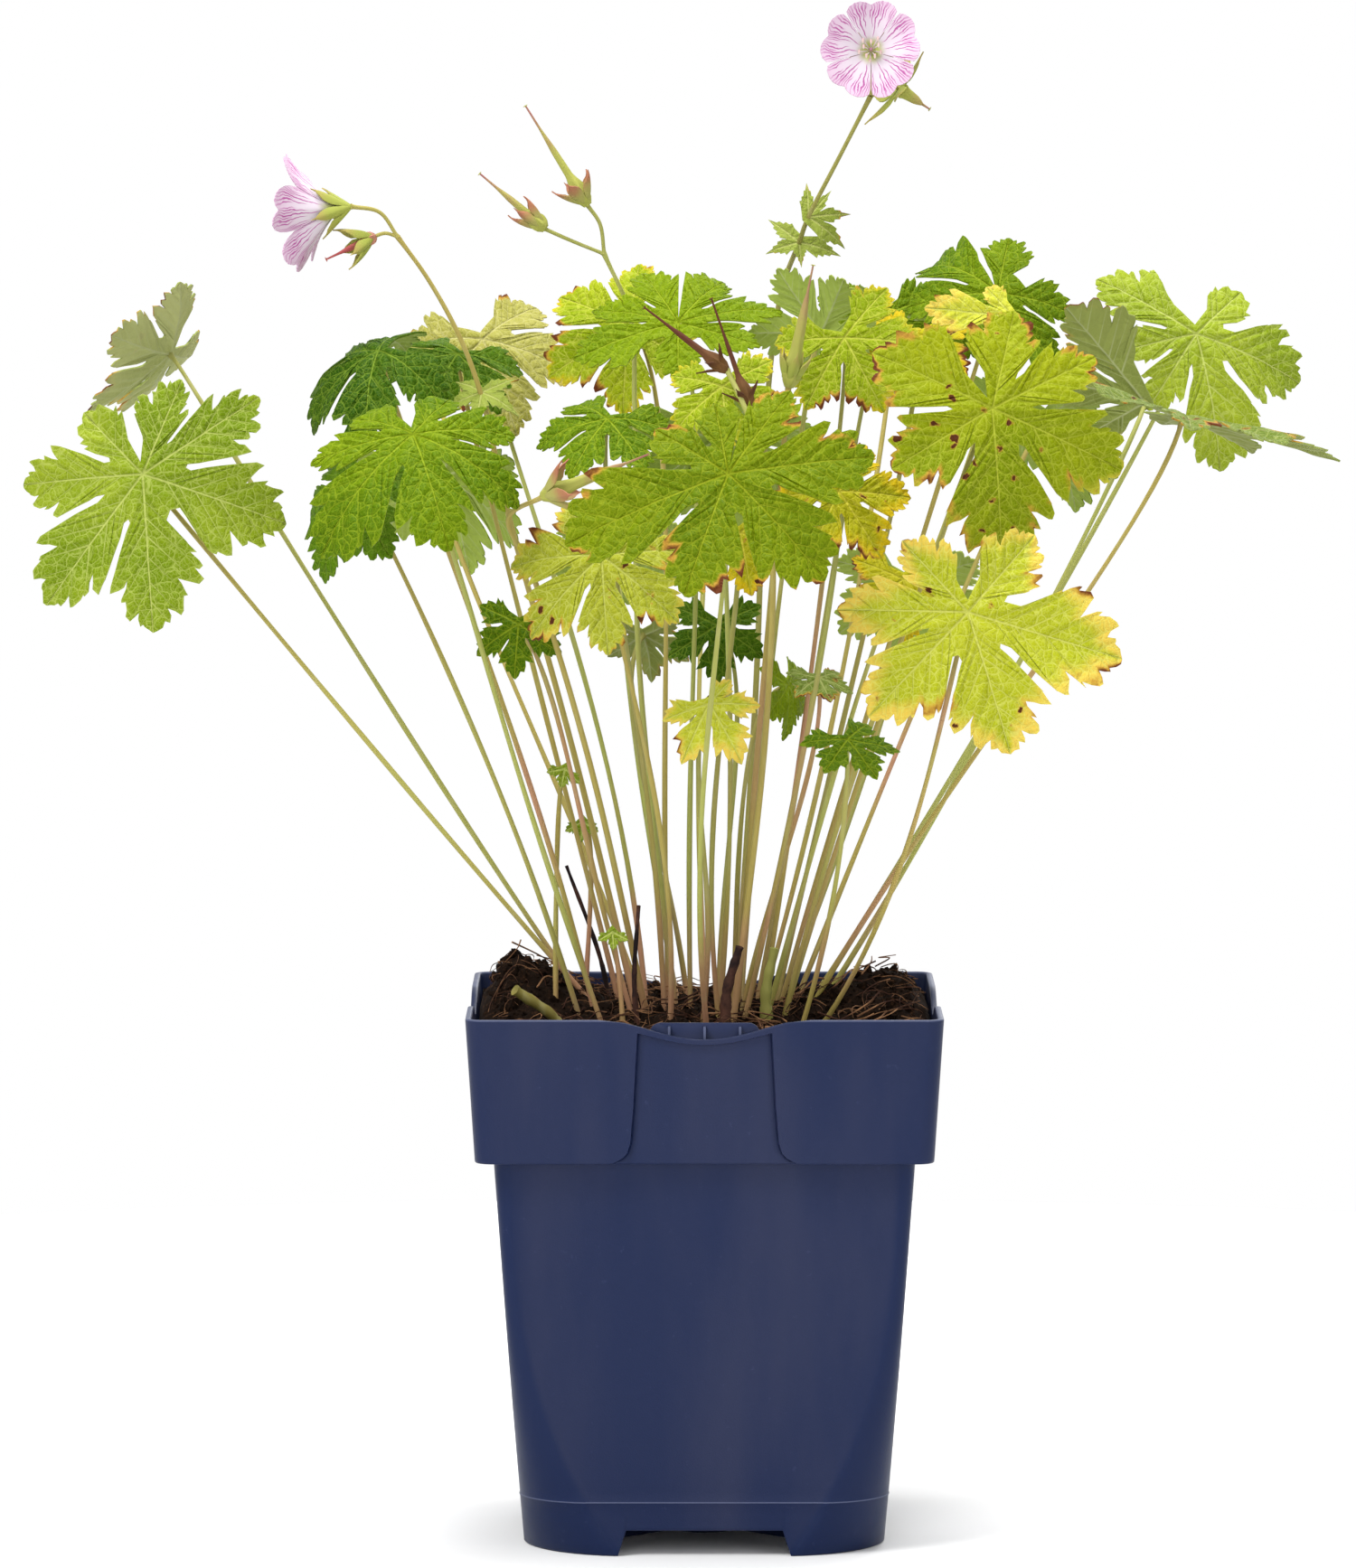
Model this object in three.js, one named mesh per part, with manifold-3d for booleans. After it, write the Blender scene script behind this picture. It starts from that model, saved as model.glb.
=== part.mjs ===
// A hardy geranium growing in a square nursery pot, in millimetres with +Z up.
// The origin is the middle of the pot's foot, on the surface that it stands on, and -Y is the front.
import * as THREE from 'three';
import { mergeVertices } from 'three/addons/utils/BufferGeometryUtils.js';
import Module from 'manifold-3d';

const wasm = await Module();
wasm.setup();

const { degToRad, lerp } = THREE.MathUtils;

// ---------------------------------------------------------------- driving dimensions

// The moulded pot: half widths across the flats, heights above the ground and wall sizes.
const POT = {
  height: 124,
  rimHalf: 54,
  collarHalf: 51.9,
  collarHeight: 91,
  bodyHalf: 47.7,
  footHalf: 41.3,
  wall: 1.4,
  floor: 5.85,
  collarCorner: 4,
  bodyCorner: 3,
  footCorner: 21,
  cornerHeight: 64,
  cornerPower: 1.9,
  cornerSteps: 3,
  bends: [12, 20, 32, 48, 64, 91],
};

// The panel sunk into the middle of each collar face, and the thumb dip in the rim above it.
const PANEL = { topHalf: 15, footHalf: 19.5, depth: 0.8, dipHalf: 22, dipDepth: 4.4 };

// The label tab that stands behind the front dip, on three small ribs.
const TAB = { width: 25, height: 14, thickness: 1.2, back: 4.2, ribGap: 8, ribDrop: 2, drop: 1, clear: 0.5 };

// The foot: a notch in each side, the crossed ribs on their hub and the drain holes through the floor.
// A fine seam parts it from the walls above.
const FOOT = {
  notchTop: 19,
  notchFoot: 21,
  seam: 0.3,
  hub: 8,
  rib: 1.6,
  ribLength: 97,
  ribLift: 0.8,
  drain: 4.5,
  drainX: 11,
  drainY: 26.4,
  drainSides: 8,
};

// Soil fills the pot to just under the rim, clear of its walls, and rises a little towards the back.
const SOIL = {
  level: 119,
  tilt: 0.03,
  gap: 0.5,
  mound: 3,
  heap: 9,
  lump: 0.8,
  bend: 32,
  rings: [1, 0.8, 0.45],
};

// Stems stand in plain holes in the soil.
const HOLE = { floor: 0.5, gap: 1.1, reach: 16, sides: 4 };
const ROOT_HEIGHT = 114.5;

// Leaf stalks taper from the soil to the blade.
const STALK = { foot: 1.05, top: 0.8, bend: 12, sides: 4, steps: 6 };

// Leaf blades: thickness, depth of the cuts between lobes, and how far each lobe is folded.
const BLADE = { thickness: 0.7, cut: 0.3, notch: 0.08, halfWidth: 0.31, fold: 0.16, wave: 0.07 };

// Half of a lobe's toothed edge, from the cut to the tip: [share of length, share of half width].
const EDGE = {
  large: [[0.48, 0.52], [0.67, 1.0], [0.74, 0.56], [0.88, 0.46]],
  small: [[0.48, 0.6], [0.7, 1.0], [0.77, 0.45]],
  tiny: [[0.7, 1.0], [0.8, 0.42]],
  short: [[0.72, 1.0]],
  bract: [[0.42, 0.9], [0.6, 0.55]],
  sepal: [[0.5, 1.0]],
  petal: [[0.45, 0.62], [0.78, 1.0], [0.98, 0.6]],
};

// The lobes of an ordinary blade: [angle from the middle lobe in degrees, share of the radius].
const LOBES = {
  large: [[-146, 0.55], [-106, 0.88], [-54, 0.97], [0, 1], [54, 0.97], [106, 0.88], [146, 0.55]],
  small: [[-118, 0.84], [-57, 0.95], [0, 1], [57, 0.95], [118, 0.84]],
  tiny: [[-118, 0.84], [-57, 0.95], [0, 1], [57, 0.95], [118, 0.84]],
};

// Five sepals or petals all round.
const WHORL = [[0, 1], [72, 1], [144, 1], [216, 1], [288, 1]];

// The point of a fruit's beak.
const FRUIT = { tip: 0.35, sides: 4 };

// The lobes of a leaf that is just opening.
const OPENING = [[-60, 0.6], [0, 0.63], [60, 0.6]];

// Where a midrib bends: shares of its lobe's length.
const RIBS = { large: [0.5], small: [0.45], tiny: [0.45] };

// The least radius of a blade of each size.
const SIZES = { large: 27, small: 15 };

const FINISH = {
  pot: { color: 0x2b3360, roughness: 0.42, metalness: 0 },
  soil: { color: 0x2b1f17, roughness: 0.95, metalness: 0 },
  green: { color: 0x7fa32c, roughness: 0.55, metalness: 0 },
  light: { color: 0xaabd4d, roughness: 0.55, metalness: 0 },
  dark: { color: 0x55752a, roughness: 0.5, metalness: 0 },
  pale: { color: 0xa2a676, roughness: 0.7, metalness: 0 },
  yellow: { color: 0xc9bd45, roughness: 0.6, metalness: 0 },
  stem: { color: 0x9aa05a, roughness: 0.6, metalness: 0 },
  petal: { color: 0xecd6e6, roughness: 0.5, metalness: 0 },
  dead: { color: 0x5a3d28, roughness: 0.85, metalness: 0 },
};

// ---------------------------------------------------------------- the leaves
// centre: where the stalk meets the blade.  face: [azimuth, elevation] of the upper side, 0 towards
// the front.  roll: turn of the middle lobe from straight down.  root: where the stalk leaves the soil.
// droop: how far the tips bend back, in radians.  bow: how far the stalk arches up.  sway: its bend
// to the side.  bend: how far below the blade it turns.

const LEAVES = [
  // outer leaves on the left
  { name: 'leaf_left_front', centre: [-128, -15, 245], face: [-10, 12], roll: 0, radius: 36,
    root: [-19, 1], droop: 0.25, bow: -2, seed: 1, finish: 'light',
    lobes: [[-134, 0.58], [-86, 0.82], [-36, 1.03], [6, 1], [73, 0.97], [125, 0.88], [160, 0.65]] },
  { name: 'leaf_left_back', centre: [-124, 25, 271], face: [-118, 35], roll: 40, radius: 24,
    root: [-22, 6], droop: -0.4, bow: -4, seed: 2, finish: 'pale' },
  { name: 'leaf_left_drooping', centre: [-74, -18, 273], face: [-30, 60], roll: -45, radius: 26,
    root: [-24, -6], droop: 1.2, bow: 6, seed: 3, finish: 'dark' },
  { name: 'leaf_left_middle', centre: [-65, -62, 256], face: [-5, 50], roll: 0, radius: 31, halfWidth: 0.36,
    root: [-22, -15], droop: 0.85, bow: 4, seed: 4, finish: 'green',
    lobes: [[-125, 0.62], [-83, 0.78], [-40, 1.15], [20, 0.97], [68, 0.97], [108, 0.78], [156, 0.55]] },
  { name: 'leaf_left_shaded', centre: [-79, -36, 243], face: [-45, 35], roll: -10, radius: 23,
    root: [-27, -10], droop: 0.7, bow: 2, seed: 5, finish: 'dark' },
  { name: 'leaf_left_pale', centre: [-52, 60, 273], face: [0, 38], roll: 20, radius: 25,
    root: [-13, 12], droop: 0.75, bow: 6, seed: 6, finish: 'yellow' },
  { name: 'leaf_left_upper', centre: [-57, 18, 271], face: [10, 60], roll: -30, radius: 20,
    root: [-18, 4], droop: 0.8, bow: 4, seed: 7, finish: 'dark' },
  { name: 'leaf_left_low', centre: [-42, -35, 212], face: [-10, 30], roll: 0, radius: 13,
    root: [-15, -9], droop: 0.4, bow: 2, seed: 8, finish: 'green' },

  // the crowded middle
  { name: 'leaf_middle_yellow', centre: [-17, 34, 277], face: [-12, 28], roll: -60, radius: 23,
    root: [-8, 7], droop: 0.5, bow: 3, seed: 9, finish: 'yellow' },
  { name: 'leaf_middle_top', centre: [-6, -4, 279], face: [0, 48], roll: 0, radius: 23,
    root: [-3, 1], droop: 0.4, bow: 0, seed: 10, finish: 'green',
    lobes: [[-158, 1], [-112, 0.95], [-72, 1.1], [0, 0.7], [72, 0.85], [114, 1.2], [152, 1.05]] },
  { name: 'leaf_middle_small', centre: [-22, -28, 258], face: [-10, 58], roll: -20, radius: 19,
    root: [-9, -5], droop: 0.6, bow: 1, seed: 11, finish: 'green' },
  { name: 'leaf_front_middle', centre: [5, -95, 249], face: [-2, 30], roll: 0, radius: 34, halfWidth: 0.38,
    root: [1, -21], droop: 0.35, bow: -4, seed: 12, finish: 'green',
    lobes: [[-170, 0.58], [-126, 0.6], [-68, 1.15], [-18, 0.88], [44, 0.95], [100, 0.95], [148, 0.75]] },
  { name: 'leaf_front_low', centre: [-23, -61, 229], face: [-5, 30], roll: 0, radius: 23,
    root: [-8, -17], droop: 0.6, bow: 0, seed: 13, finish: 'light',
    lobes: [[-148, 0.75], [-92, 1], [-44, 1.1], [5, 1], [52, 1], [100, 0.85]] },
  { name: 'leaf_under_yellow', centre: [8, -40, 233], face: [0, 30], roll: 10, radius: 15,
    root: [4, -12], droop: 0.4, bow: 0, seed: 14, finish: 'yellow' },
  { name: 'leaf_low_front', centre: [1, -50, 195], face: [5, 30], roll: 0, radius: 14,
    root: [-1, -15], droop: 0.4, bow: 0, seed: 15, finish: 'light' },
  { name: 'leaf_low_pale', centre: [26, -25, 199], face: [20, 60], roll: 0, radius: 9,
    root: [7, -8], droop: 0.3, bow: 0, seed: 16, finish: 'pale' },
  { name: 'leaf_low_dark', centre: [3, 7, 209], face: [0, 20], roll: 0, radius: 14,
    root: [3, 2], droop: 0.4, bow: 0, seed: 17, finish: 'dark' },
  { name: 'leaf_low_grey', centre: [-14, 35, 205], face: [160, 40], roll: 0, radius: 13,
    root: [-3, 10], droop: 0.3, bow: 0, seed: 18, finish: 'pale' },
  { name: 'leaf_low_narrow', centre: [19, -6, 196], face: [65, 10], roll: 0, radius: 13,
    root: [6, -1], droop: 0.4, bow: 0, seed: 39, finish: 'green' },
  { name: 'leaf_middle_spotted', centre: [4, -40, 266], face: [-10, 35], roll: 10, radius: 16,
    root: [3, -8], droop: 0.4, bow: 0, seed: 19, finish: 'yellow' },

  // the right hand side
  { name: 'leaf_right_spotted', centre: [64, -62, 262], face: [8, 15], roll: 0, radius: 33, halfWidth: 0.36,
    root: [17, -12], droop: 0.3, bow: 0, seed: 20, finish: 'green',
    lobes: [[-118, 0.9], [-60, 0.8], [3, 1.05], [66, 1], [116, 0.8], [164, 0.75]] },
  { name: 'leaf_right_low', centre: [58, -85, 218], face: [5, 8], roll: 0, radius: 33,
    root: [24, -15], droop: 0.2, bow: -9, seed: 21, finish: 'yellow',
    lobes: [[-138, 0.65], [-92, 0.88], [-44, 0.97], [17, 1], [73, 1.08], [138, 0.72]] },
  { name: 'leaf_right_top', centre: [68, 22, 285], face: [0, 35], roll: 0, radius: 23,
    root: [16, 6], droop: 0.7, bow: 4, seed: 22, finish: 'green',
    lobes: [[-136, 1.3], [-92, 1], [-30, 0.8], [40, 1], [84, 0.85], [170, 0.8]] },
  { name: 'leaf_right_outer', centre: [115, 40, 275], face: [12, 24], roll: 0, radius: 29,
    root: [20, 10], droop: 0.6, bow: -6, seed: 23, finish: 'green',
    lobes: [[-127, 0.92], [-80, 0.62], [-36, 0.75], [10, 1.15], [70, 1], [132, 0.6]] },
  { name: 'leaf_right_edge', centre: [109, -15, 258], face: [116, 75], roll: -26, radius: 37,
    root: [21, -1], droop: 0.2, bow: 4, bend: 24, seed: 24, finish: 'pale',
    lobes: [[-128, 0.9], [-88, 0.8], [-46, 0.9], [0, 1], [48, 0.75], [100, 0.5]] },
  { name: 'leaf_right_folded', centre: [102, 17, 260], face: [170, 20], roll: 0, radius: 27,
    root: [22.5, 5], droop: 0.3, bow: -6, seed: 25, finish: 'pale',
    lobes: [[60, 0.5], [108, 0.9], [146, 1.12]] },
  { name: 'leaf_right_small', centre: [70, -24, 281], face: [0, 25], roll: 0, radius: 20,
    root: [17, -5], droop: 0.3, bow: 2, seed: 26, finish: 'yellow',
    lobes: [[-142, 0.5], [-98, 1], [-50, 0.45]] },
  { name: 'leaf_back_grey', centre: [27, 15, 276], face: [165, 15], roll: 150, radius: 18,
    root: [8, 3], droop: 0.3, bow: 0, seed: 27, finish: 'pale' },
  { name: 'leaf_back_upper', centre: [46, 85, 279], face: [170, 50], roll: 0, radius: 22,
    root: [12, 19], droop: 0.4, bow: 0, seed: 28, finish: 'green' },
  { name: 'leaf_right_inner', centre: [32, -12, 276], face: [-10, 25], roll: 30, radius: 20,
    root: [12.5, -4], droop: 0.3, bow: 0, seed: 29, finish: 'light' },
  { name: 'leaf_right_shaded', centre: [42, 42, 279], face: [10, 35], roll: 0, radius: 20,
    root: [11, 9], droop: 0.4, bow: 0, seed: 30, finish: 'green' },
  { name: 'leaf_right_brown', centre: [45, -32, 222], face: [10, 30], roll: 0, radius: 15,
    root: [13, -8], droop: 0.4, bow: 0, seed: 31, finish: 'yellow' },
  { name: 'leaf_right_gold', centre: [30, -52, 243], face: [10, 25], roll: 30, radius: 18,
    root: [8, -14], droop: 0.3, bow: 0, seed: 32, finish: 'yellow' },
  { name: 'leaf_right_speckled', centre: [49, 13, 275], face: [-20, 35], roll: 0, radius: 17,
    root: [15, 2], droop: 0.4, bow: 0, seed: 33, finish: 'yellow' },
  { name: 'leaf_low_right', centre: [32, -52, 187], face: [15, 55], roll: 20, radius: 13,
    root: [21, -20], droop: 0.3, bow: 0, seed: 40, finish: 'green' },

  // leaves that fill the back
  { name: 'leaf_back_left', centre: [-62, 82, 240], face: [150, 35], roll: 0, radius: 27,
    root: [-12, 18], droop: 0.4, bow: 0, seed: 34, finish: 'green' },
  { name: 'leaf_back_middle', centre: [4, 102, 248], face: [180, 35], roll: 0, radius: 29,
    root: [1, 21], droop: 0.4, bow: 0, seed: 35, finish: 'green' },
  { name: 'leaf_back_low', centre: [50, 78, 214], face: [165, 30], roll: 0, radius: 24,
    root: [15, 14], droop: 0.4, bow: 0, seed: 36, finish: 'light' },
  { name: 'leaf_back_right', centre: [82, 82, 254], face: [140, 35], roll: 0, radius: 26,
    root: [19, 19], droop: 0.4, bow: 0, seed: 37, finish: 'green' },
  { name: 'leaf_back_inner', centre: [-20, 75, 224], face: [185, 40], roll: 0, radius: 20,
    root: [-5, 16], droop: 0.4, bow: 0, seed: 38, finish: 'light' },

  // young leaves that have just opened, low on the left
  { name: 'young_leaf_high', centre: [-32, -8, 177], face: [20, 20], roll: -20, radius: 8,
    root: [-34, -7], droop: -0.5, bow: 1, bend: 6, seed: 41, finish: 'light', lobes: OPENING, ribs: [] },
  { name: 'young_leaf_middle', centre: [-28, 14, 163], face: [-20, 10], roll: 0, radius: 8,
    root: [-28, 12.5], droop: -0.5, bend: 6, seed: 42, finish: 'light', lobes: OPENING, ribs: [] },
  { name: 'young_leaf_low', centre: [-21, -24, 141], face: [10, 15], roll: 0, radius: 7,
    root: [-18.5, -19.5], droop: -0.5, bend: 6, seed: 43, finish: 'light', lobes: OPENING, ribs: [] },
];

// ---------------------------------------------------------------- the flowering stems
// branches: the middle line of each length of stem, from its lower end, with the radii of its ends.
// bracts: small toothed leaves round a joint.  cups: the five sepals round a flower or a fruit.
// fruits: the swollen seed head and its beak.

const SPRAYS = [
  {
    name: 'flower_stem_right',
    finish: 'stem',
    branches: [
      { points: [[7, 11, ROOT_HEIGHT], [12, 26, 190], [15, 34, 262], [18, 31, 285], [22, 18, 297],
        [24, 10, 303], [31, 2, 317], [38, -5, 331]], radii: [1.2, 0.75] },
      { points: [[38, -5, 331], [38.5, -3.5, 336], [38, -8, 340.6]], radii: [0.65, 0.7] },
      { points: [[38, -5, 331], [41.5, -3.5, 333.4], [45, -2, 332.5]], radii: [0.65, 0.65] },
    ],
    bracts: [
      { centre: [22, 18, 297], face: [0, 20], radius: 10,
        lobes: [[-132, 1], [-75, 0.85], [5, 0.6], [78, 1.1]] },
      { centre: [24, 10, 303], face: [10, 15], radius: 11,
        lobes: [[55, 1.15], [97, 1], [138, 0.8], [178, 0.8]] },
    ],
    cups: [
      { centre: [38, -7.6, 340.8], to: [38, -20, 341.6], radius: 7, cone: -0.5 },
      { centre: [44.5, -2, 332.6], to: [52, 0, 327], radius: 9, cone: -0.3 },
    ],
    fruits: [{ from: [44.5, -2, 332.6], to: [51.5, -0.5, 328], bulb: 1.6, neck: 1.3 }],
  },
  {
    name: 'flower_stem_left',
    finish: 'stem',
    branches: [
      { points: [[-14, -2, ROOT_HEIGHT], [-30, 1, 180], [-45, 2, 235], [-51, -1, 262], [-56, -4, 276],
        [-63, -6, 289], [-70, -9, 299]], radii: [1.2, 0.75] },
      { points: [[-70, -9, 299], [-74, -11, 304.6], [-80.5, -14, 306]], radii: [0.65, 0.7] },
      { points: [[-70, -9, 299], [-72.8, -9.5, 299.8], [-75.5, -10, 299]], radii: [0.65, 0.65] },
    ],
    bracts: [{ centre: [-51, -1, 263], face: [-10, 50], radius: 11,
      lobes: [[-130, 0.9], [-65, 1], [0, 0.9], [65, 1], [130, 0.9]] }],
    cups: [
      { centre: [-80, -13.8, 306], to: [-95, -17, 304], radius: 9.5, cone: -0.85 },
      { centre: [-75, -10, 299.1], to: [-84, -13, 296], radius: 9, cone: -0.9 },
    ],
    fruits: [{ from: [-75, -10, 299.1], to: [-86, -14, 294], bulb: 1.5, neck: 0.8 }],
  },
  {
    name: 'fruit_stem_left',
    finish: 'stem',
    branches: [
      { points: [[-6, 4, ROOT_HEIGHT], [-15, 9, 200], [-16, 13, 258], [-17, 15, 280], [-23, 12, 294.5]],
        radii: [1.1, 0.7] },
      { points: [[-23, 12, 294.5], [-31, 10, 297.8], [-37, 9, 300.5]], radii: [0.6, 0.7] },
      { points: [[-23, 12, 294.5], [-24, 11, 301.5], [-27, 10, 306]], radii: [0.6, 0.7] },
    ],
    bracts: [],
    cups: [
      { centre: [-36.5, 9, 300.3], to: [-51.5, 8, 313], radius: 9, cone: -1.1 },
      { centre: [-26.8, 10, 305.7], to: [-41, 9, 328.5], radius: 8, cone: -0.9 },
    ],
    fruits: [
      { from: [-36.5, 9, 300.3], to: [-51.5, 8, 313], bulb: 1.9, neck: 0.9 },
      { from: [-26.8, 10, 305.7], to: [-41, 9, 328.5], bulb: 1.9, neck: 0.9 },
    ],
  },
  {
    name: 'fruit_stem_right',
    finish: 'stem',
    branches: [{ points: [[7, -4, ROOT_HEIGHT], [12, -18, 180], [17, -28, 240], [19, -30, 266]],
      radii: [1.1, 0.8] }],
    bracts: [],
    cups: [{ centre: [19, -30, 265.5], to: [24.5, -31, 293], radius: 8, cone: -1.15 }],
    fruits: [{ from: [19, -30, 265.5], to: [24.5, -31, 293], bulb: 2.1, neck: 1.1 }],
  },
  {
    name: 'seed_stem',
    finish: 'dead',
    branches: [
      { points: [[6, -17, ROOT_HEIGHT], [14, -38, 190], [15, -54, 235], [12, -52, 254], [10, -47, 262]],
        radii: [1.1, 0.8] },
      { points: [[12, -52, 254], [8, -49, 264], [5, -46, 270]], radii: [0.7, 0.8] },
    ],
    bracts: [],
    cups: [
      { centre: [5, -46, 269.8], to: [-13.5, -46, 284], radius: 7, cone: -0.9 },
      { centre: [10, -47, 261.5], to: [1.5, -47, 286], radius: 7, cone: -0.9 },
    ],
    fruits: [
      { from: [5, -46, 269.8], to: [-13.5, -46, 284], bulb: 1.8, neck: 0.9 },
      { from: [10, -47, 261.5], to: [1.5, -47, 286], bulb: 1.8, neck: 0.9 },
    ],
  },
  {
    name: 'fruit_stem_low',
    finish: 'stem',
    branches: [{ points: [[-12, -6, ROOT_HEIGHT], [-26, -30, 180], [-39, -48, 225], [-44, -53, 237],
      [-36, -61, 242.4]], radii: [1.1, 0.7] }],
    bracts: [],
    cups: [{ centre: [-36.5, -61, 242.2], to: [-12.5, -65, 252], radius: 9, cone: -0.7 }],
    fruits: [{ from: [-36.5, -61, 242.2], to: [-12.5, -65, 252], bulb: 1.6, neck: 0.9 }],
  },
];

// The petals of the two open flowers, in their own colour.
const FLOWERS = [
  { name: 'flower_right', centre: [38, -10.2, 341.2], face: [-2, 6], roll: 180, radius: 11.8, cone: -0.5,
    droop: 0.3, seed: 0 },
  { name: 'flower_left', centre: [-83, -14.6, 305.6], face: [-77, -8], roll: 20, radius: 17, cone: -0.85,
    droop: 0.4, seed: 3 },
];

// Stalks without a leaf: dead ones, a cut one and a thick new shoot.
const STUBS = [
  { name: 'dead_stalk_left', points: [[-21, 20, ROOT_HEIGHT], [-24, 21, 130], [-32, 22, 152]],
    radii: [1.1, 0.6], finish: 'dead' },
  { name: 'dead_stalk_middle', points: [[-15, -19, ROOT_HEIGHT], [-16, -22, 130], [-15, -23, 147]],
    radii: [1.2, 0.7], finish: 'dead' },
  { name: 'dead_stub', points: [[5, -25, ROOT_HEIGHT], [5, -26, 127], [8, -28, 138]],
    radii: [2.0, 1.2], finish: 'dead' },
  { name: 'young_shoot', points: [[15, -18, ROOT_HEIGHT], [14, -20, 126], [16, -21, 137]],
    radii: [2.3, 1.4], finish: 'stem' },
  { name: 'cut_stalk', points: [[-30, -28, ROOT_HEIGHT], [-34, -31, 122], [-43, -36, 129]],
    radii: [1.5, 1.7], finish: 'stem' },
];

// ---------------------------------------------------------------- solids

function vector([x, y, z]) {
  return new THREE.Vector3(x, y, z);
}

// A closed solid from its corners and its triangles.
function solidFrom(points, triangles) {
  const geometry = new THREE.BufferGeometry().setFromPoints(points);
  geometry.setIndex(triangles.flat());
  return solidOf(geometry);
}

// A closed solid from a geometry whose corners are shared once the normals and uvs are gone.
function solidOf(geometry) {
  geometry.deleteAttribute('normal');
  geometry.deleteAttribute('uv');
  const merged = mergeVertices(geometry, 1e-4);
  const vertProperties = merged.attributes.position.array;
  const triVerts = new Uint32Array(merged.index.array);
  return new wasm.Manifold(new wasm.Mesh({ numProp: 3, vertProperties, triVerts }));
}

// A named mesh with its own material.
function meshOf(name, solid, finish) {
  const made = solid.getMesh();
  const geometry = new THREE.BufferGeometry();
  geometry.setAttribute('position', new THREE.BufferAttribute(made.vertProperties, 3));
  geometry.setIndex(new THREE.BufferAttribute(made.triVerts, 1));
  geometry.computeVertexNormals();
  const mesh = new THREE.Mesh(geometry, new THREE.MeshStandardMaterial(FINISH[finish]));
  mesh.name = name;
  return mesh;
}

function joined(solids) {
  return solids.reduce((whole, solid) => whole.add(solid));
}

// Rings of corners round the places of a rod, each turned as little as can be from the one before.
function rodRings(places, sides, across) {
  const out = across.clone();
  return places.map(({ point, along, radius }) => {
    out.addScaledVector(along, -out.dot(along)).normalize();
    const side = along.clone().cross(out);
    return Array.from({ length: sides }, (_, n) => {
      const turn = (2 * Math.PI * n) / sides;
      const corner = point.clone().addScaledVector(out, radius * Math.cos(turn));
      return corner.addScaledVector(side, radius * Math.sin(turn));
    });
  });
}

// A rod with flat ends through places that have a point, a direction and a radius.
function rod(places, sides) {
  const across = vector(Math.abs(places[0].along.x) < 0.9 ? [1, 0, 0] : [0, 1, 0]);
  const rings = rodRings(places, sides, across);
  return solidFrom(rings.flat(), tubeFaces(sides, rings.length - 1));
}

// The triangles of a tube's side and of its two flat ends.
function tubeFaces(sides, steps) {
  const faces = [];
  for (let step = 0; step < steps; step++) {
    for (let side = 0; side < sides; side++) {
      const next = (side + 1) % sides;
      const [a, b] = [step * sides + side, step * sides + next];
      faces.push([a, b, b + sides], [a, b + sides, a + sides]);
    }
  }
  const last = steps * sides;
  for (let side = 1; side < sides - 1; side++) {
    faces.push([0, side + 1, side], [last, last + side, last + side + 1]);
  }
  return faces;
}

// ---------------------------------------------------------------- lobed blades

// A flat blade is bent by this little, so that one formula serves all.
const NO_DROOP = 1e-4;

// The share of the gap beside a lobe that it may fill, at the notch and at the other cuts.
const LOBE_ROOM = { notch: 0.8, cut: 0.64, widest: 1.2 };

// The directions of a blade: its upper side, its middle lobe and the direction to that lobe's left.
function bladeFrame([azimuth, elevation], roll) {
  const [az, el, turn] = [azimuth, elevation, roll].map(degToRad);
  const normal = vector([Math.sin(az) * Math.cos(el), -Math.cos(az) * Math.cos(el), Math.sin(el)]);
  const down = vector([Math.sin(az) * Math.sin(el), -Math.cos(az) * Math.sin(el), -Math.cos(el)]);
  const right = normal.clone().cross(down);
  const tip = down.multiplyScalar(Math.cos(turn)).addScaledVector(right, Math.sin(turn));
  return { normal, tip, side: normal.clone().cross(tip) };
}

// A point of a blade at a distance and an angle from its centre.  The blade leaves its centre as a
// cone, bends by droop radians over its radius, rises to both sides of each midrib and waves a little
// towards its edge.
function bladePoint(blade, { distance, angle, across }, offset) {
  const share = distance / blade.radius;
  const bend = blade.cone + (blade.droop || NO_DROOP) * share;
  const out = blade.frame.tip.clone().multiplyScalar(Math.cos(angle));
  out.addScaledVector(blade.frame.side, Math.sin(angle));
  const curl = blade.radius / (blade.droop || NO_DROOP);
  const reach = curl * (Math.sin(bend) - Math.sin(blade.cone));
  const fall = curl * (Math.cos(blade.cone) - Math.cos(bend));
  const upper = blade.frame.normal.clone().multiplyScalar(Math.cos(bend));
  upper.addScaledVector(out, Math.sin(bend));
  const ripple = Math.sin(2 * angle + 2.4 * blade.seed) + 0.8 * Math.sin(3 * angle + 1.7 * blade.seed);
  const rise = blade.fold * across + blade.wave * blade.radius * share ** 2 * ripple;
  const point = blade.centre.clone().addScaledVector(out, reach);
  point.addScaledVector(blade.frame.normal, -fall);
  return point.addScaledVector(upper, rise + offset);
}

// The cut between two neighbouring lobes, or the notch at the stalk after the last one.
function cutBetween(blade, lobe, next) {
  const closes = next.angle < lobe.angle;
  const span = next.angle - lobe.angle + (closes ? 2 * Math.PI : 0);
  const open = closes && !blade.ring;
  const cut = blade.cut * Math.min(lobe.share, next.share) ** 0.5;
  const distance = open ? Math.max(BLADE.notch * blade.radius, 2 * STALK.top) : cut * blade.radius;
  const half = span / 2;
  return { distance, angle: lobe.angle + half, across: distance * Math.sin(half), half, open };
}

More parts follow.
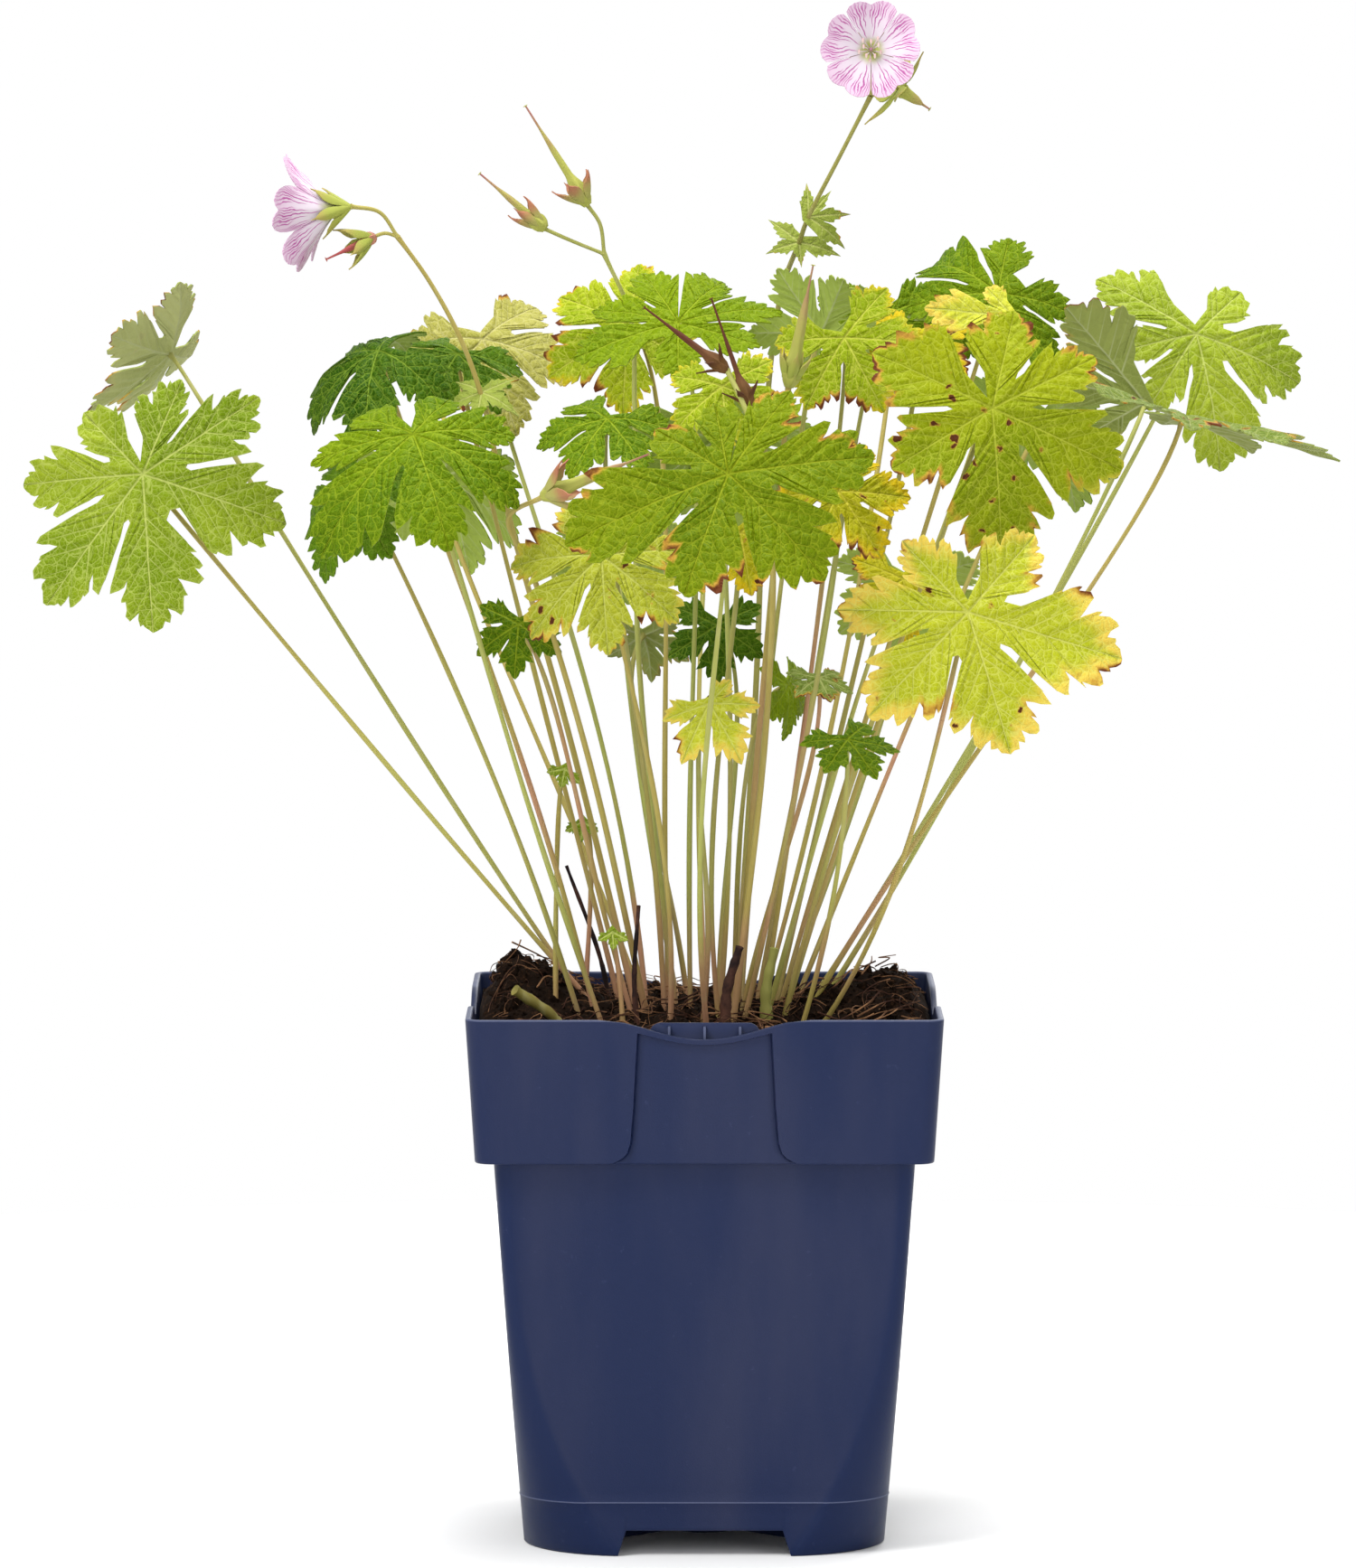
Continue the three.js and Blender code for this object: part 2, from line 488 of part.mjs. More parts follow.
// One half of a lobe's toothed edge, on the side of the given sign.
function lobeEdge(blade, lobe, cut, sign) {
  const length = lobe.share * blade.radius;
  const room = (cut.open ? LOBE_ROOM.notch : LOBE_ROOM.cut) * Math.tan(Math.min(cut.half, LOBE_ROOM.widest));
  const half = Math.min(blade.halfWidth, room) * length;
  const edge = lobe.share < 0.64 && !blade.ring ? EDGE.short : blade.edge;
  return edge.map(([along, across]) => {
    const [u, v] = [along * length, across * half];
    return { distance: Math.hypot(u, v), angle: lobe.angle + sign * Math.atan2(v, u), across: v, along: u };
  });
}

// The faces between a midrib and one half of a lobe's edge.
function halfLobe(ribs, edge, flip) {
  const faces = [];
  let [r, e] = [0, 0];
  while (r < ribs.length - 1 || e < edge.length - 1) {
    const last = e === edge.length - 1;
    const alongRib = r < ribs.length - 1 && (last || ribs[r + 1].along <= edge[e + 1].along);
    const next = alongRib ? ribs[r + 1] : edge[e + 1];
    const face = [ribs[r].index, edge[e].index, next.index];
    faces.push(flip ? face.reverse() : face);
    if (alongRib) r += 1;
    else e += 1;
  }
  return faces;
}

// The places of a blade of lobes round a centre, its faces and the places along its edge in order.
function lobedSheet(plan) {
  const blade = { ...BLADE, droop: 0, cone: 0, seed: 0, ring: false, edge: EDGE.small, ribs: [], tip: 1,
    ...plan };
  blade.frame = bladeFrame(blade.face, blade.roll);
  blade.centre = vector(blade.centre);
  const places = [];
  const add = (place) => {
    places.push(place);
    return { ...place, index: places.length - 1 };
  };
  const lobes = blade.lobes.map(([angle, share]) => ({ angle: degToRad(angle), share }));
  const centre = add({ distance: 0, angle: 0, across: 0, along: 0 });
  const cuts = lobes.map((lobe, i) => {
    const cut = cutBetween(blade, lobe, lobes[(i + 1) % lobes.length]);
    return add({ ...cut, along: cut.distance * Math.cos(cut.half) });
  });
  const faces = [];
  const outline = [];
  lobes.forEach((lobe, i) => {
    const before = cuts[(i + lobes.length - 1) % lobes.length];
    const length = lobe.share * blade.radius;
    const ribs = blade.ribs.map((along) => add({ distance: along * length, angle: lobe.angle, across: 0,
      along: along * length }));
    const tip = add({ distance: blade.tip * length, angle: lobe.angle, across: 0, along: length });
    const first = [before, ...lobeEdge(blade, lobe, before, -1).map(add), tip];
    const second = [cuts[i], ...lobeEdge(blade, lobe, cuts[i], 1).map(add), tip];
    faces.push(...halfLobe([centre, ...ribs], first, false), ...halfLobe([centre, ...ribs], second, true));
    outline.push(...first, ...second.slice(1, -1).reverse());
  });
  return { blade, places, faces, outline: outline.map((place) => place.index) };
}

// Both faces of a blade, split into triangles alike, and the wall round its edge.
function thickened({ blade, places, faces, outline }) {
  const half = blade.thickness / 2;
  const upper = places.map((place) => bladePoint(blade, place, half));
  const lower = places.map((place) => bladePoint(blade, place, -half));
  const count = places.length;
  const under = faces.map(([a, b, c]) => [a + count, c + count, b + count]);
  const wall = outline.flatMap((a, i) => {
    const b = outline[(i + 1) % outline.length];
    return [[a, a + count, b + count], [a, b + count, b]];
  });
  return { points: [...upper, ...lower], triangles: [...faces, ...under, ...wall] };
}

// A thin blade as a closed solid.
function lobedBlade(plan) {
  const { points, triangles } = thickened(lobedSheet(plan));
  return solidFrom(points, triangles);
}

// The angle of a place round the centre, from 0 to a full turn.
function turnOf({ angle }) {
  return THREE.MathUtils.euclideanModulo(angle, 2 * Math.PI);
}

// The band of faces between an outer and an inner ring of places, both in order of their angle.
function band(outer, inner) {
  const faces = [];
  const turnAt = (ring, i) => turnOf(ring[i % ring.length]) + (i >= ring.length ? 2 * Math.PI : 0);
  let [o, i] = [0, 0];
  while (o < outer.length || i < inner.length) {
    const here = [inner[i % inner.length].index, outer[o % outer.length].index];
    const outward = i === inner.length || (o < outer.length && turnAt(outer, o + 1) <= turnAt(inner, i + 1));
    if (outward) o += 1;
    else i += 1;
    faces.push([...here, outward ? outer[o % outer.length].index : inner[i % inner.length].index]);
  }
  return faces;
}

// A blade with its stalk grown out of the middle of its lower face, as one closed solid.
function stalkedBlade(plan, curve) {
  const sheet = lobedSheet(plan);
  const { blade, places, faces } = sheet;
  const { points, triangles } = thickened(sheet);
  const middle = places.length;
  const around = new Set(faces.filter((face) => face.includes(0)).flat().filter((index) => index !== 0));
  const outer = [...around].map((index) => ({ ...places[index], index: index + middle }));
  outer.sort((a, b) => turnOf(a) - turnOf(b));
  const inner = Array.from({ length: STALK.sides }, (_, side) => {
    const place = { distance: STALK.top, angle: (2 * Math.PI * side) / STALK.sides, across: 0 };
    return { ...place, index: points.push(bladePoint(blade, place, -blade.thickness / 2)) - 1 };
  });
  const opened = triangles.filter((face) => !face.includes(middle));
  const skirt = band(outer, inner).map((face) => face.reverse());
  return solidFrom(points, [...opened, ...skirt, ...stalkFaces(points, inner[0].index, blade.frame, curve)]);
}

// Adds the rings of a stalk below the ring that starts at the given corner, and returns its faces.
function stalkFaces(points, start, frame, curve) {
  const { sides, steps } = STALK;
  const places = Array.from({ length: steps }, (_, step) => {
    const share = 1 - (step + 1) / steps;
    return { point: curve.getPointAt(share), along: curve.getTangentAt(share),
      radius: lerp(STALK.foot, STALK.top, share) };
  });
  points.push(...rodRings(places, sides, frame.tip).flat());
  const faces = [];
  for (let corner = start; corner < start + steps * sides; corner++) {
    const next = (corner - start + 1) % sides === 0 ? corner + 1 - sides : corner + 1;
    faces.push([corner, corner + sides, next + sides], [corner, next + sides, next]);
  }
  const last = start + steps * sides;
  for (let n = 1; n < sides - 1; n++) faces.push([last, last + n + 1, last + n]);
  return faces;
}

// ---------------------------------------------------------------- leaves and stems

// A leaf stalk's curve, from its root in the soil to the under side of the blade, which it meets square.
function stalkCurve({ root, centre, face, bow = 0, sway = 0, bend = STALK.bend }) {
  const foot = vector([root[0], root[1], ROOT_HEIGHT]);
  const { normal } = bladeFrame(face, 0);
  const top = vector(centre).addScaledVector(normal, -BLADE.thickness / 2);
  const chord = top.clone().sub(foot).normalize();
  const side = chord.clone().cross(vector([0, 0, 1])).normalize();
  const lift = side.clone().cross(chord);
  const low = foot.clone().lerp(top, 1 / 3).addScaledVector(lift, bow).addScaledVector(side, sway);
  const high = top.clone().addScaledVector(normal, -bend);
  return new THREE.CubicBezierCurve3(foot, low, high, top);
}

function leaf(row) {
  const size = ['large', 'small'].find((name) => row.radius >= SIZES[name]) ?? 'tiny';
  const plan = { lobes: LOBES[size], edge: EDGE[size], ribs: RIBS[size], ...row };
  return meshOf(row.name, stalkedBlade(plan, stalkCurve(row)), row.finish);
}

// The direction from one point to another as an azimuth and an elevation.
function facing(from, to) {
  const aim = vector(to).sub(vector(from)).normalize();
  return [Math.atan2(aim.x, -aim.y), Math.asin(aim.z)].map(THREE.MathUtils.radToDeg);
}

// A length of stem through its points.
function branch({ points, radii }) {
  const curve = new THREE.CatmullRomCurve3(points.map(vector));
  const places = points.map((point, i) => {
    const share = i / (points.length - 1);
    return { point: vector(point), along: curve.getTangent(share), radius: lerp(...radii, share) };
  });
  return rod(places, STALK.sides);
}

// Small pointed leaves at a joint of the stem.
function bract(row) {
  return lobedBlade({ roll: 0, droop: 0.5, seed: 1, halfWidth: 0.26, edge: EDGE.bract, ribs: [], ...row });
}

// Five sepals round the foot of a flower or a fruit.
function cup({ centre, to, radius, cone }) {
  return lobedBlade({ centre, face: facing(centre, to), roll: 0, radius, cone, ring: true, lobes: WHORL,
    edge: EDGE.sepal, ribs: [], halfWidth: 0.24, cut: 0.26, wave: 0 });
}

// A seed head that narrows into its long beak.
function fruit({ from, to, bulb, neck }) {
  const [foot, tip] = [vector(from), vector(to)];
  const along = tip.clone().sub(foot).normalize();
  const profile = [[0, 0.5 * bulb], [0.12, bulb], [0.3, neck], [0.72, 0.8 * neck], [1, FRUIT.tip]];
  const places = profile.map(([share, radius]) => ({ point: foot.clone().lerp(tip, share), along, radius }));
  return rod(places, FRUIT.sides);
}

function spray({ name, finish, branches, bracts, cups, fruits }) {
  const solids = [...branches.map(branch), ...bracts.map(bract), ...cups.map(cup), ...fruits.map(fruit)];
  return meshOf(name, joined(solids), finish);
}

// Five notched petals round a small middle.
function flower(row) {
  const petals = lobedBlade({ ...row, ring: true, lobes: WHORL, edge: EDGE.petal, ribs: [0.35, 0.7],
    halfWidth: 0.46, cut: 0.2, tip: 0.9, fold: 0.1 });
  return meshOf(row.name, petals, 'petal');
}

function stub({ name, points, radii, finish }) {
  return meshOf(name, branch({ points, radii }), finish);
}

// ---------------------------------------------------------------- soil

// The lumpy top of the soil: a low mound round the stems, and heaps against the left and right walls.
function soilHeight(x, y) {
  const mound = SOIL.mound * Math.exp(-(x * x + y * y) / 500);
  const left = SOIL.heap * Math.exp(-((x + 48) ** 2 + (y - 6) ** 2) / 320);
  const right = 0.7 * SOIL.heap * Math.exp(-((x - 48) ** 2 + (y - 4) ** 2) / 420);
  const lumps = Math.sin(0.23 * x + 1) * Math.cos(0.19 * y) + 0.6 * Math.sin(0.47 * x + 0.35 * y);
  return SOIL.level + SOIL.tilt * y + mound + left + right + SOIL.lump * lumps;
}

// The hole that a stem stands in, a little wider than the stem and a little deeper.
function stemHole({ foot, along, radius }) {
  const places = [-HOLE.floor, HOLE.reach].map((shift) => {
    const point = foot.clone().addScaledVector(along, shift);
    return { point, along, radius: radius + HOLE.gap };
  });
  return rod(places, HOLE.sides);
}

// The room that the soil leaves round the label tab.
function tabRoom() {
  const depth = 2 * (TAB.back + TAB.clear);
  const height = 2 * (TAB.height + TAB.drop + TAB.clear);
  return box(TAB.width + 2 * TAB.clear, depth, height, [0, -POT.rimHalf + TAB.thickness, POT.height]);
}

// A ring with one more corner in the middle of each of its straight sides.
function withSides(ring) {
  const corner = POT.cornerSteps + 1;
  return ring.flatMap((point, i) => {
    if (i % corner !== corner - 1) return [point];
    const next = ring[(i + 1) % ring.length];
    return [point, point.clone().lerp(next, 0.5)];
  });
}

function soil(stems) {
  const inset = POT.wall + SOIL.gap;
  const step = POT.collarHeight + inset;
  const sides = [POT.floor + inset, SOIL.bend, POT.cornerHeight, step].map((z) => bodyAt(z, inset));
  const top = SOIL.rings.map((share) => withSides(collarAt(SOIL.level, inset)).map(({ x, y }) => {
    const [px, py] = [x * share, y * share];
    return vector([px, py, soilHeight(px, py)]);
  }));
  let ground = loft([...[...sides, collarAt(step, inset)].map(withSides), ...top]);
  ground = ground.subtract(tabRoom());
  for (const stem of stems) ground = ground.subtract(stemHole(stem));
  return meshOf('soil', ground, 'soil');
}

// ---------------------------------------------------------------- pot

// A rounded square at a height: its corners are arcs.
function squareRing(half, corner, z) {
  const points = [];
  for (let quarter = 0; quarter < 4; quarter++) {
    const start = (Math.PI / 2) * quarter;
    const middle = vector([half - corner, half - corner, z]).applyAxisAngle(vector([0, 0, 1]), start);
    for (let step = 0; step <= POT.cornerSteps; step++) {
      const turn = start + ((Math.PI / 2) * step) / POT.cornerSteps;
      points.push(middle.clone().add(vector([Math.cos(turn) * corner, Math.sin(turn) * corner, 0])));
    }
  }
  return points;
}

// A solid through rings of as many points each, from the lowest up, with flat ends.
function loft(rings) {
  const count = rings[0].length;
  return solidFrom(rings.flat(), tubeFaces(count, rings.length - 1));
}

// The pot's half width and corner radius at a height below the collar.
function bodyAt(z, inset) {
  const half = lerp(POT.footHalf, POT.bodyHalf, z / POT.collarHeight);
  const low = Math.max(0, 1 - z / POT.cornerHeight) ** POT.cornerPower;
  const corner = lerp(POT.bodyCorner, POT.footCorner, low);
  return squareRing(half - inset, Math.max(corner - inset, 0.8), z);
}

// The pot's half width and corner radius at a height of the collar.
function collarAt(z, inset) {
  const share = (z - POT.collarHeight) / (POT.height - POT.collarHeight);
  return squareRing(lerp(POT.collarHalf, POT.rimHalf, share) - inset, POT.collarCorner - inset, z);
}

// The shape inside the walls, from the floor to the given height, drawn in by the inset.
function filling(inset, floor, top) {
  const step = POT.collarHeight + inset;
  const bends = POT.bends.filter((z) => z > floor + 1 && z < step - inset);
  const body = [floor, ...bends, step].map((z) => bodyAt(z, inset));
  return loft([...body, collarAt(step, inset), collarAt(top, inset)]);
}

function box(width, depth, height, [x, y, z]) {
  return solidOf(new THREE.BoxGeometry(width, depth, height).translate(x, y, z));
}

// A flat outline in x and z, pushed through from y = back towards +Y by the depth.
function slab(outline, depth, back) {
  const shape = new THREE.Shape(outline.map(([x, z]) => new THREE.Vector2(x, z)));
  const geometry = new THREE.ExtrudeGeometry(shape, { depth, bevelEnabled: false });
  geometry.rotateX(Math.PI / 2).translate(0, back + depth, 0);
  return solidOf(geometry);
}

// The sunk panel of the front collar face: what stands outside the panel's depth, inside its outline.
function panel() {
  const low = POT.collarHeight - 1;
  const high = POT.height + 1;
  const waist = POT.height - 8;
  const outline = [[-PANEL.footHalf, low], [PANEL.footHalf, low], [PANEL.topHalf, waist],
    [PANEL.topHalf, high], [-PANEL.topHalf, high], [-PANEL.topHalf, waist]];
  const core = loft([collarAt(low - 1, PANEL.depth), collarAt(high + 1, PANEL.depth)]);
  return slab(outline, 10, -POT.rimHalf - 3).subtract(core);
}

// A shallow round dip in the rim.
function dip() {
  const outline = [];
  for (let step = 0; step <= 8; step++) {
    const x = lerp(-PANEL.dipHalf, PANEL.dipHalf, step / 8);
    outline.push([x, POT.height - PANEL.dipDepth * Math.cos((Math.PI / 2) * (x / PANEL.dipHalf)) ** 1.5]);
  }
  outline.push([PANEL.dipHalf, POT.height + 2], [-PANEL.dipHalf, POT.height + 2]);
  return slab(outline, 8, -POT.rimHalf - 2);
}

// The low opening in the middle of the front of the foot.
function notch() {
  const outline = [[-FOOT.notchFoot, 0], [FOOT.notchFoot, 0], [FOOT.notchTop, POT.floor],
    [-FOOT.notchTop, POT.floor]];
  return slab(outline, 8, -POT.footHalf - 3);
}

// The foot's four corners, joined by crossed ribs and a round hub that also rests on the ground.
function potFoot() {
  const height = POT.floor - FOOT.seam;
  const outside = loft([bodyAt(0, 0), bodyAt(height, 0)]);
  const inside = loft([bodyAt(-1, POT.wall), bodyAt(height + 1, POT.wall)]);
  const hub = solidOf(new THREE.CylinderGeometry(FOOT.hub, FOOT.hub, height, 12).rotateX(Math.PI / 2));
  const rib = box(FOOT.ribLength, FOOT.rib, height - FOOT.ribLift, [0, 0, FOOT.ribLift / 2]);
  const ribs = [45, 135].map((turn) => rib.rotate([0, 0, turn]));
  let foot = outside.subtract(inside);
  for (const turn of [0, 90, 180, 270]) foot = foot.subtract(notch().rotate([0, 0, turn]));
  return meshOf('pot_foot', foot.add(joined([hub, ...ribs]).translate([0, 0, height / 2])), 'pot');
}

// The label tab with its three ribs, behind the front dip.
function labelTab() {
  const y = -POT.rimHalf + TAB.back;
  const z = POT.height - TAB.drop - TAB.height / 2;
  const plate = box(TAB.width, TAB.thickness, TAB.height, [0, y, z]);
  const ribs = [-1, 0, 1].map((n) => {
    const place = [n * TAB.ribGap, y - TAB.back / 2 + TAB.thickness / 2, z - TAB.ribDrop];
    return box(TAB.thickness, TAB.back - TAB.thickness / 2, TAB.height - 2 * TAB.ribDrop, place);
  });
  return joined([plate, ...ribs]);
}

// The drain holes through the floor.
function drains() {
  const drain = new THREE.CylinderGeometry(FOOT.drain, FOOT.drain, 3 * POT.wall, FOOT.drainSides);
  const hole = solidOf(drain.rotateX(Math.PI / 2));
  const places = [[1, 1], [1, -1], [-1, 1], [-1, -1]];
  return joined(places.map(([x, y]) => hole.translate([x * FOOT.drainX, y * FOOT.drainY, POT.floor])));
}

function pot() {
  const body = [POT.floor, ...POT.bends].map((z) => bodyAt(z, 0));
  const outside = loft([...body, collarAt(POT.collarHeight, 0), collarAt(POT.height, 0)]);
  let shell = outside.subtract(filling(POT.wall, POT.floor + POT.wall, POT.height + 1));
  for (const cutter of [panel(), dip()]) {
    for (const turn of [0, 90, 180, 270]) shell = shell.subtract(cutter.rotate([0, 0, turn]));
  }
  return meshOf('pot', shell.subtract(drains()).add(labelTab()), 'pot');
}

// ---------------------------------------------------------------- the whole plant

// Where a stem leaves the soil, its direction there and its radius.
function footing(curve, radius) {
  return { foot: curve.getPoint(0), along: curve.getTangent(0), radius };
}

const stems = [
  ...LEAVES.map((row) => footing(stalkCurve(row), STALK.foot)),
  ...[...SPRAYS.map((row) => row.branches[0]), ...STUBS].map(({ points, radii }) =>
    footing(new THREE.CatmullRomCurve3(points.map(vector)), radii[0])),
];

const plant = new THREE.Group();
plant.add(pot(), potFoot(), soil(stems));
plant.add(...LEAVES.map(leaf), ...SPRAYS.map(spray), ...FLOWERS.map(flower), ...STUBS.map(stub));

export default plant;
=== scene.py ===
"""A hardy geranium in its square nursery pot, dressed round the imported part.

Lengths are in millimetres, and become metres when a mesh is made, unless a comment says otherwise. +Z
is up and -Y is the front. The leaves, stems and flowers stand where the part's own solids stand and
keep their forms.
"""

import logging
import math
import random
from dataclasses import dataclass
from enum import Enum

import bpy
import numpy as np
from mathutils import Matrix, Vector, noise


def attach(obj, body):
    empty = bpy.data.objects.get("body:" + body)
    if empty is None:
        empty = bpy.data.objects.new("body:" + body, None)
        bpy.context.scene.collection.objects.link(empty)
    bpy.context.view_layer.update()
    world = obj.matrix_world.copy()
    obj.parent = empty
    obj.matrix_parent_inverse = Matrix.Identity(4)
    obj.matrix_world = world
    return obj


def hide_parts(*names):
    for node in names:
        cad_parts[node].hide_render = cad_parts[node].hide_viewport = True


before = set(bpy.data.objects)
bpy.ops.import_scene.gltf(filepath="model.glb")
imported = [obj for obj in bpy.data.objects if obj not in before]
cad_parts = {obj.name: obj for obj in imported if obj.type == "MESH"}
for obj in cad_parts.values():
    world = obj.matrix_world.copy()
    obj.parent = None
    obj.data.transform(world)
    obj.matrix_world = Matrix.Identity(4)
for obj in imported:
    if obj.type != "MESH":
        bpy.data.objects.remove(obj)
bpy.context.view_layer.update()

Point = tuple[float, float, float]
Pair = tuple[float, float]
Colour = tuple[float, float, float, float]
Socket = bpy.types.NodeSocket
Given = Socket | bpy.types.ID | float | tuple[float, ...]  # what a node's input can be given
Skins = dict[str, bpy.types.Material]

LOG = logging.getLogger("hardy_geranium")
MM = 0.001
WELD = 1e-4  # millimetres within which two places are one
LIGHT = 0.6  # how much darker a base colour is than it looks in the studio
SHARP = math.radians(62)  # faces that meet at more than this keep a hard edge
ROOT_HEIGHT = 114.5  # where the stems start, inside the soil
FULL_TURN = 2 * math.pi
NO_TINT = (0, 0, 0, 0)
UNMARKED = (0, 0, 0, 1)


# ------------------------------------------------------------------------------------ meshes


class Patchwork:
    """Grids of points gathered into one mesh, with two maps and a tint for each corner."""

    def __init__(self) -> None:
        """Starts with nothing in it."""
        self.points: list[np.ndarray] = []
        self.vein: list[np.ndarray] = []
        self.flat: list[np.ndarray] = []
        self.tint: list[np.ndarray] = []
        self.faces: list[np.ndarray] = []
        self.slots: list[np.ndarray] = []
        self.count = 0

    def grid(
        self,
        points: np.ndarray,
        slot: int = 0,
        flip: bool = False,
        wrap: bool = False,
        vein: np.ndarray | None = None,
        flat: np.ndarray | None = None,
        tint: np.ndarray | None = None,
    ) -> None:
        """Adds a grid of points and the faces between them.

        Args:
            points: places in millimetres, rows by columns by 3.
            slot: which of the piece's finishes the faces take.
            flip: turns the faces over.
            wrap: joins the last column to the first.
            vein: map across the side veins, rows by columns by 2.
            flat: map of the flattened blade, rows by columns by 2.
            tint: four values for each point, rows by columns by 4.
        """
        rows, columns = points.shape[:2]
        index = self.count + np.arange(rows * columns).reshape(rows, columns)
        right = np.roll(index, -1, axis=1) if wrap else index[:, 1:]
        left = index if wrap else index[:, :-1]
        quads = np.stack([left[:-1], right[:-1], right[1:], left[1:]], axis=-1).reshape(-1, 4)
        self.faces.append(quads[:, ::-1] if flip else quads)
        self.slots.append(np.full(len(quads), slot))
        self.points.append(points.reshape(-1, 3))
        for kept, given, width in ((self.vein, vein, 2), (self.flat, flat, 2), (self.tint, tint, 4)):
            kept.append(np.zeros((rows * columns, width)) if given is None else given.reshape(-1, width))
        self.count += rows * columns

    def piece(self, name: str, finishes: list[bpy.types.Material]) -> bpy.types.Object:
        """Makes the gathered grids one object, welded, in metres.

        Args:
            name: the piece's name.
            finishes: one material for each slot.

        Returns:
            The new object, linked to the scene.
        """
        points = np.concatenate(self.points)
        _, first, welded = np.unique(
            np.round(points / WELD).astype(np.int64), axis=0, return_index=True, return_inverse=True
        )
        welded = welded.reshape(-1)
        faces, corners, slots = [], [], []
        for quad, slot in zip(np.concatenate(self.faces).tolist(), np.concatenate(self.slots).tolist()):
            kept = {}
            for corner in quad:
                kept.setdefault(int(welded[corner]), corner)
            if len(kept) > 2:
                faces.append(list(kept))
                corners.extend(kept.values())
                slots.append(slot)
        mesh = bpy.data.meshes.new(name)
        mesh.from_pydata((points[first] * MM).tolist(), [], faces)
        mesh.polygons.foreach_set("material_index", slots)
        mesh.polygons.foreach_set("use_smooth", [True] * len(faces))
        for layer, values in (("vein", self.vein), ("flat", self.flat)):
            uv = mesh.uv_layers.new(name=layer)
            uv.uv.foreach_set("vector", np.concatenate(values)[corners].astype(np.float32).ravel())
        colour = mesh.color_attributes.new("tint", "FLOAT_COLOR", "CORNER")
        colour.data.foreach_set("color", np.concatenate(self.tint)[corners].astype(np.float32).ravel())
        for finish in finishes:
            mesh.materials.append(finish)
        mesh.validate()
        mesh.set_sharp_from_angle(angle=SHARP)
        return linked(name, mesh)


def linked(name: str, data: bpy.types.ID) -> bpy.types.Object:
    """A new object of some data, linked to the scene.

    Args:
        name: the object's name.
        data: its mesh, light or camera.

    Returns:
        The new object.
    """
    made = bpy.data.objects.new(name, data)
    bpy.context.scene.collection.objects.link(made)
    return made


def placed(piece: bpy.types.Object, nodes: tuple[str, ...] = ()) -> bpy.types.Object:
    """Lets a finished piece ride on the part, and hides the part's nodes that it stands for.

    Args:
        piece: the finished object.
        nodes: the part's nodes that it stands for.

    Returns:
        The same object.
    """
    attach(piece, "root")
    if nodes:
        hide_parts(*nodes)
    LOG.info("%s: %d faces", piece.name, len(piece.data.polygons))
    return piece


def unit(vector: np.ndarray) -> np.ndarray:
    """The vector at length 1."""
    return vector / np.linalg.norm(vector)


def circle(sides: int) -> np.ndarray:
    """The angles of so many even steps round a circle."""
    return FULL_TURN * np.arange(sides) / sides


def capped(line: np.ndarray, rings: np.ndarray) -> np.ndarray:
    """The rings with their two ends drawn together on the line's ends."""
    ends = [np.repeat(line[[i]], rings.shape[1], axis=0)[None] for i in (0, -1)]
    return np.concatenate([ends[0], rings, ends[1]])


def lathe(profile: tuple[Pair, ...], sides: int, middle: Pair = (0.0, 0.0)) -> np.ndarray:
    """Rings round an upright axis.

    Args:
        profile: each ring's height and radius.
        sides: how many points go round.
        middle: where the axis stands.

    Returns:
        The rings, one for each row of the profile, by sides by 3.
    """
    turns = circle(sides)
    x, y = middle
    rings = [(x + r * np.cos(turns), y + r * np.sin(turns), np.full(sides, z)) for z, r in profile]
    return np.stack(rings).transpose(0, 2, 1)


def rod_rings(points: np.ndarray, radii: np.ndarray, sides: int) -> np.ndarray:
    """Rings of points round a line, each turned as little as can be from the one before.

    Args:
        points: the places along the line, n by 3.
        radii: the radius at each place.
        sides: how many points go round.

    Returns:
        The rings, n by sides by 3.
    """
    along = np.gradient(points, axis=0)
    along /= np.linalg.norm(along, axis=1)[:, None]
    out = np.array([1.0, 0, 0]) if abs(along[0][0]) < 0.9 else np.array([0, 1.0, 0])
    turns = circle(sides)[:, None]
    rings = np.empty((len(points), sides, 3))
    for step, direction in enumerate(along):
        out = unit(out - direction * np.dot(out, direction))
        side = np.cross(direction, out)
        rings[step] = points[step] + radii[step] * (np.cos(turns) * out + np.sin(turns) * side)
    return rings


def add_rings(work: Patchwork, rings: np.ndarray, slot: int, tint: Colour) -> None:
    """Adds rings to a patchwork, with a tint that runs from the first to the last.

    Args:
        work: what they are added to.
        rings: the rings, n by sides by 3.
        slot: the finish of its faces.
        tint: the tint's first, third and fourth values; the second runs from 0 to 1.
    """
    tints = np.empty((*rings.shape[:2], 4))
    tints[:] = tint
    tints[:, :, 1] = np.linspace(0, 1, len(rings))[:, None]
    work.grid(rings, slot=slot, wrap=True, tint=tints)


def add_rod(
    work: Patchwork,
    points: np.ndarray,
    radii: np.ndarray,
    sides: int = 8,
    slot: int = 0,
    tint: Colour = NO_TINT,
) -> None:
    """Adds a round rod with closed ends to a patchwork.

    Args:
        work: what the rod is added to.
        points: its middle line, n by 3.
        radii: its radius at each of those points.
        sides: how many points go round it.
        slot: the finish of its faces.
        tint: the tint's first, third and fourth values; the second runs along the rod.
    """
    add_rings(work, capped(points, rod_rings(points, radii, sides)), slot, tint)


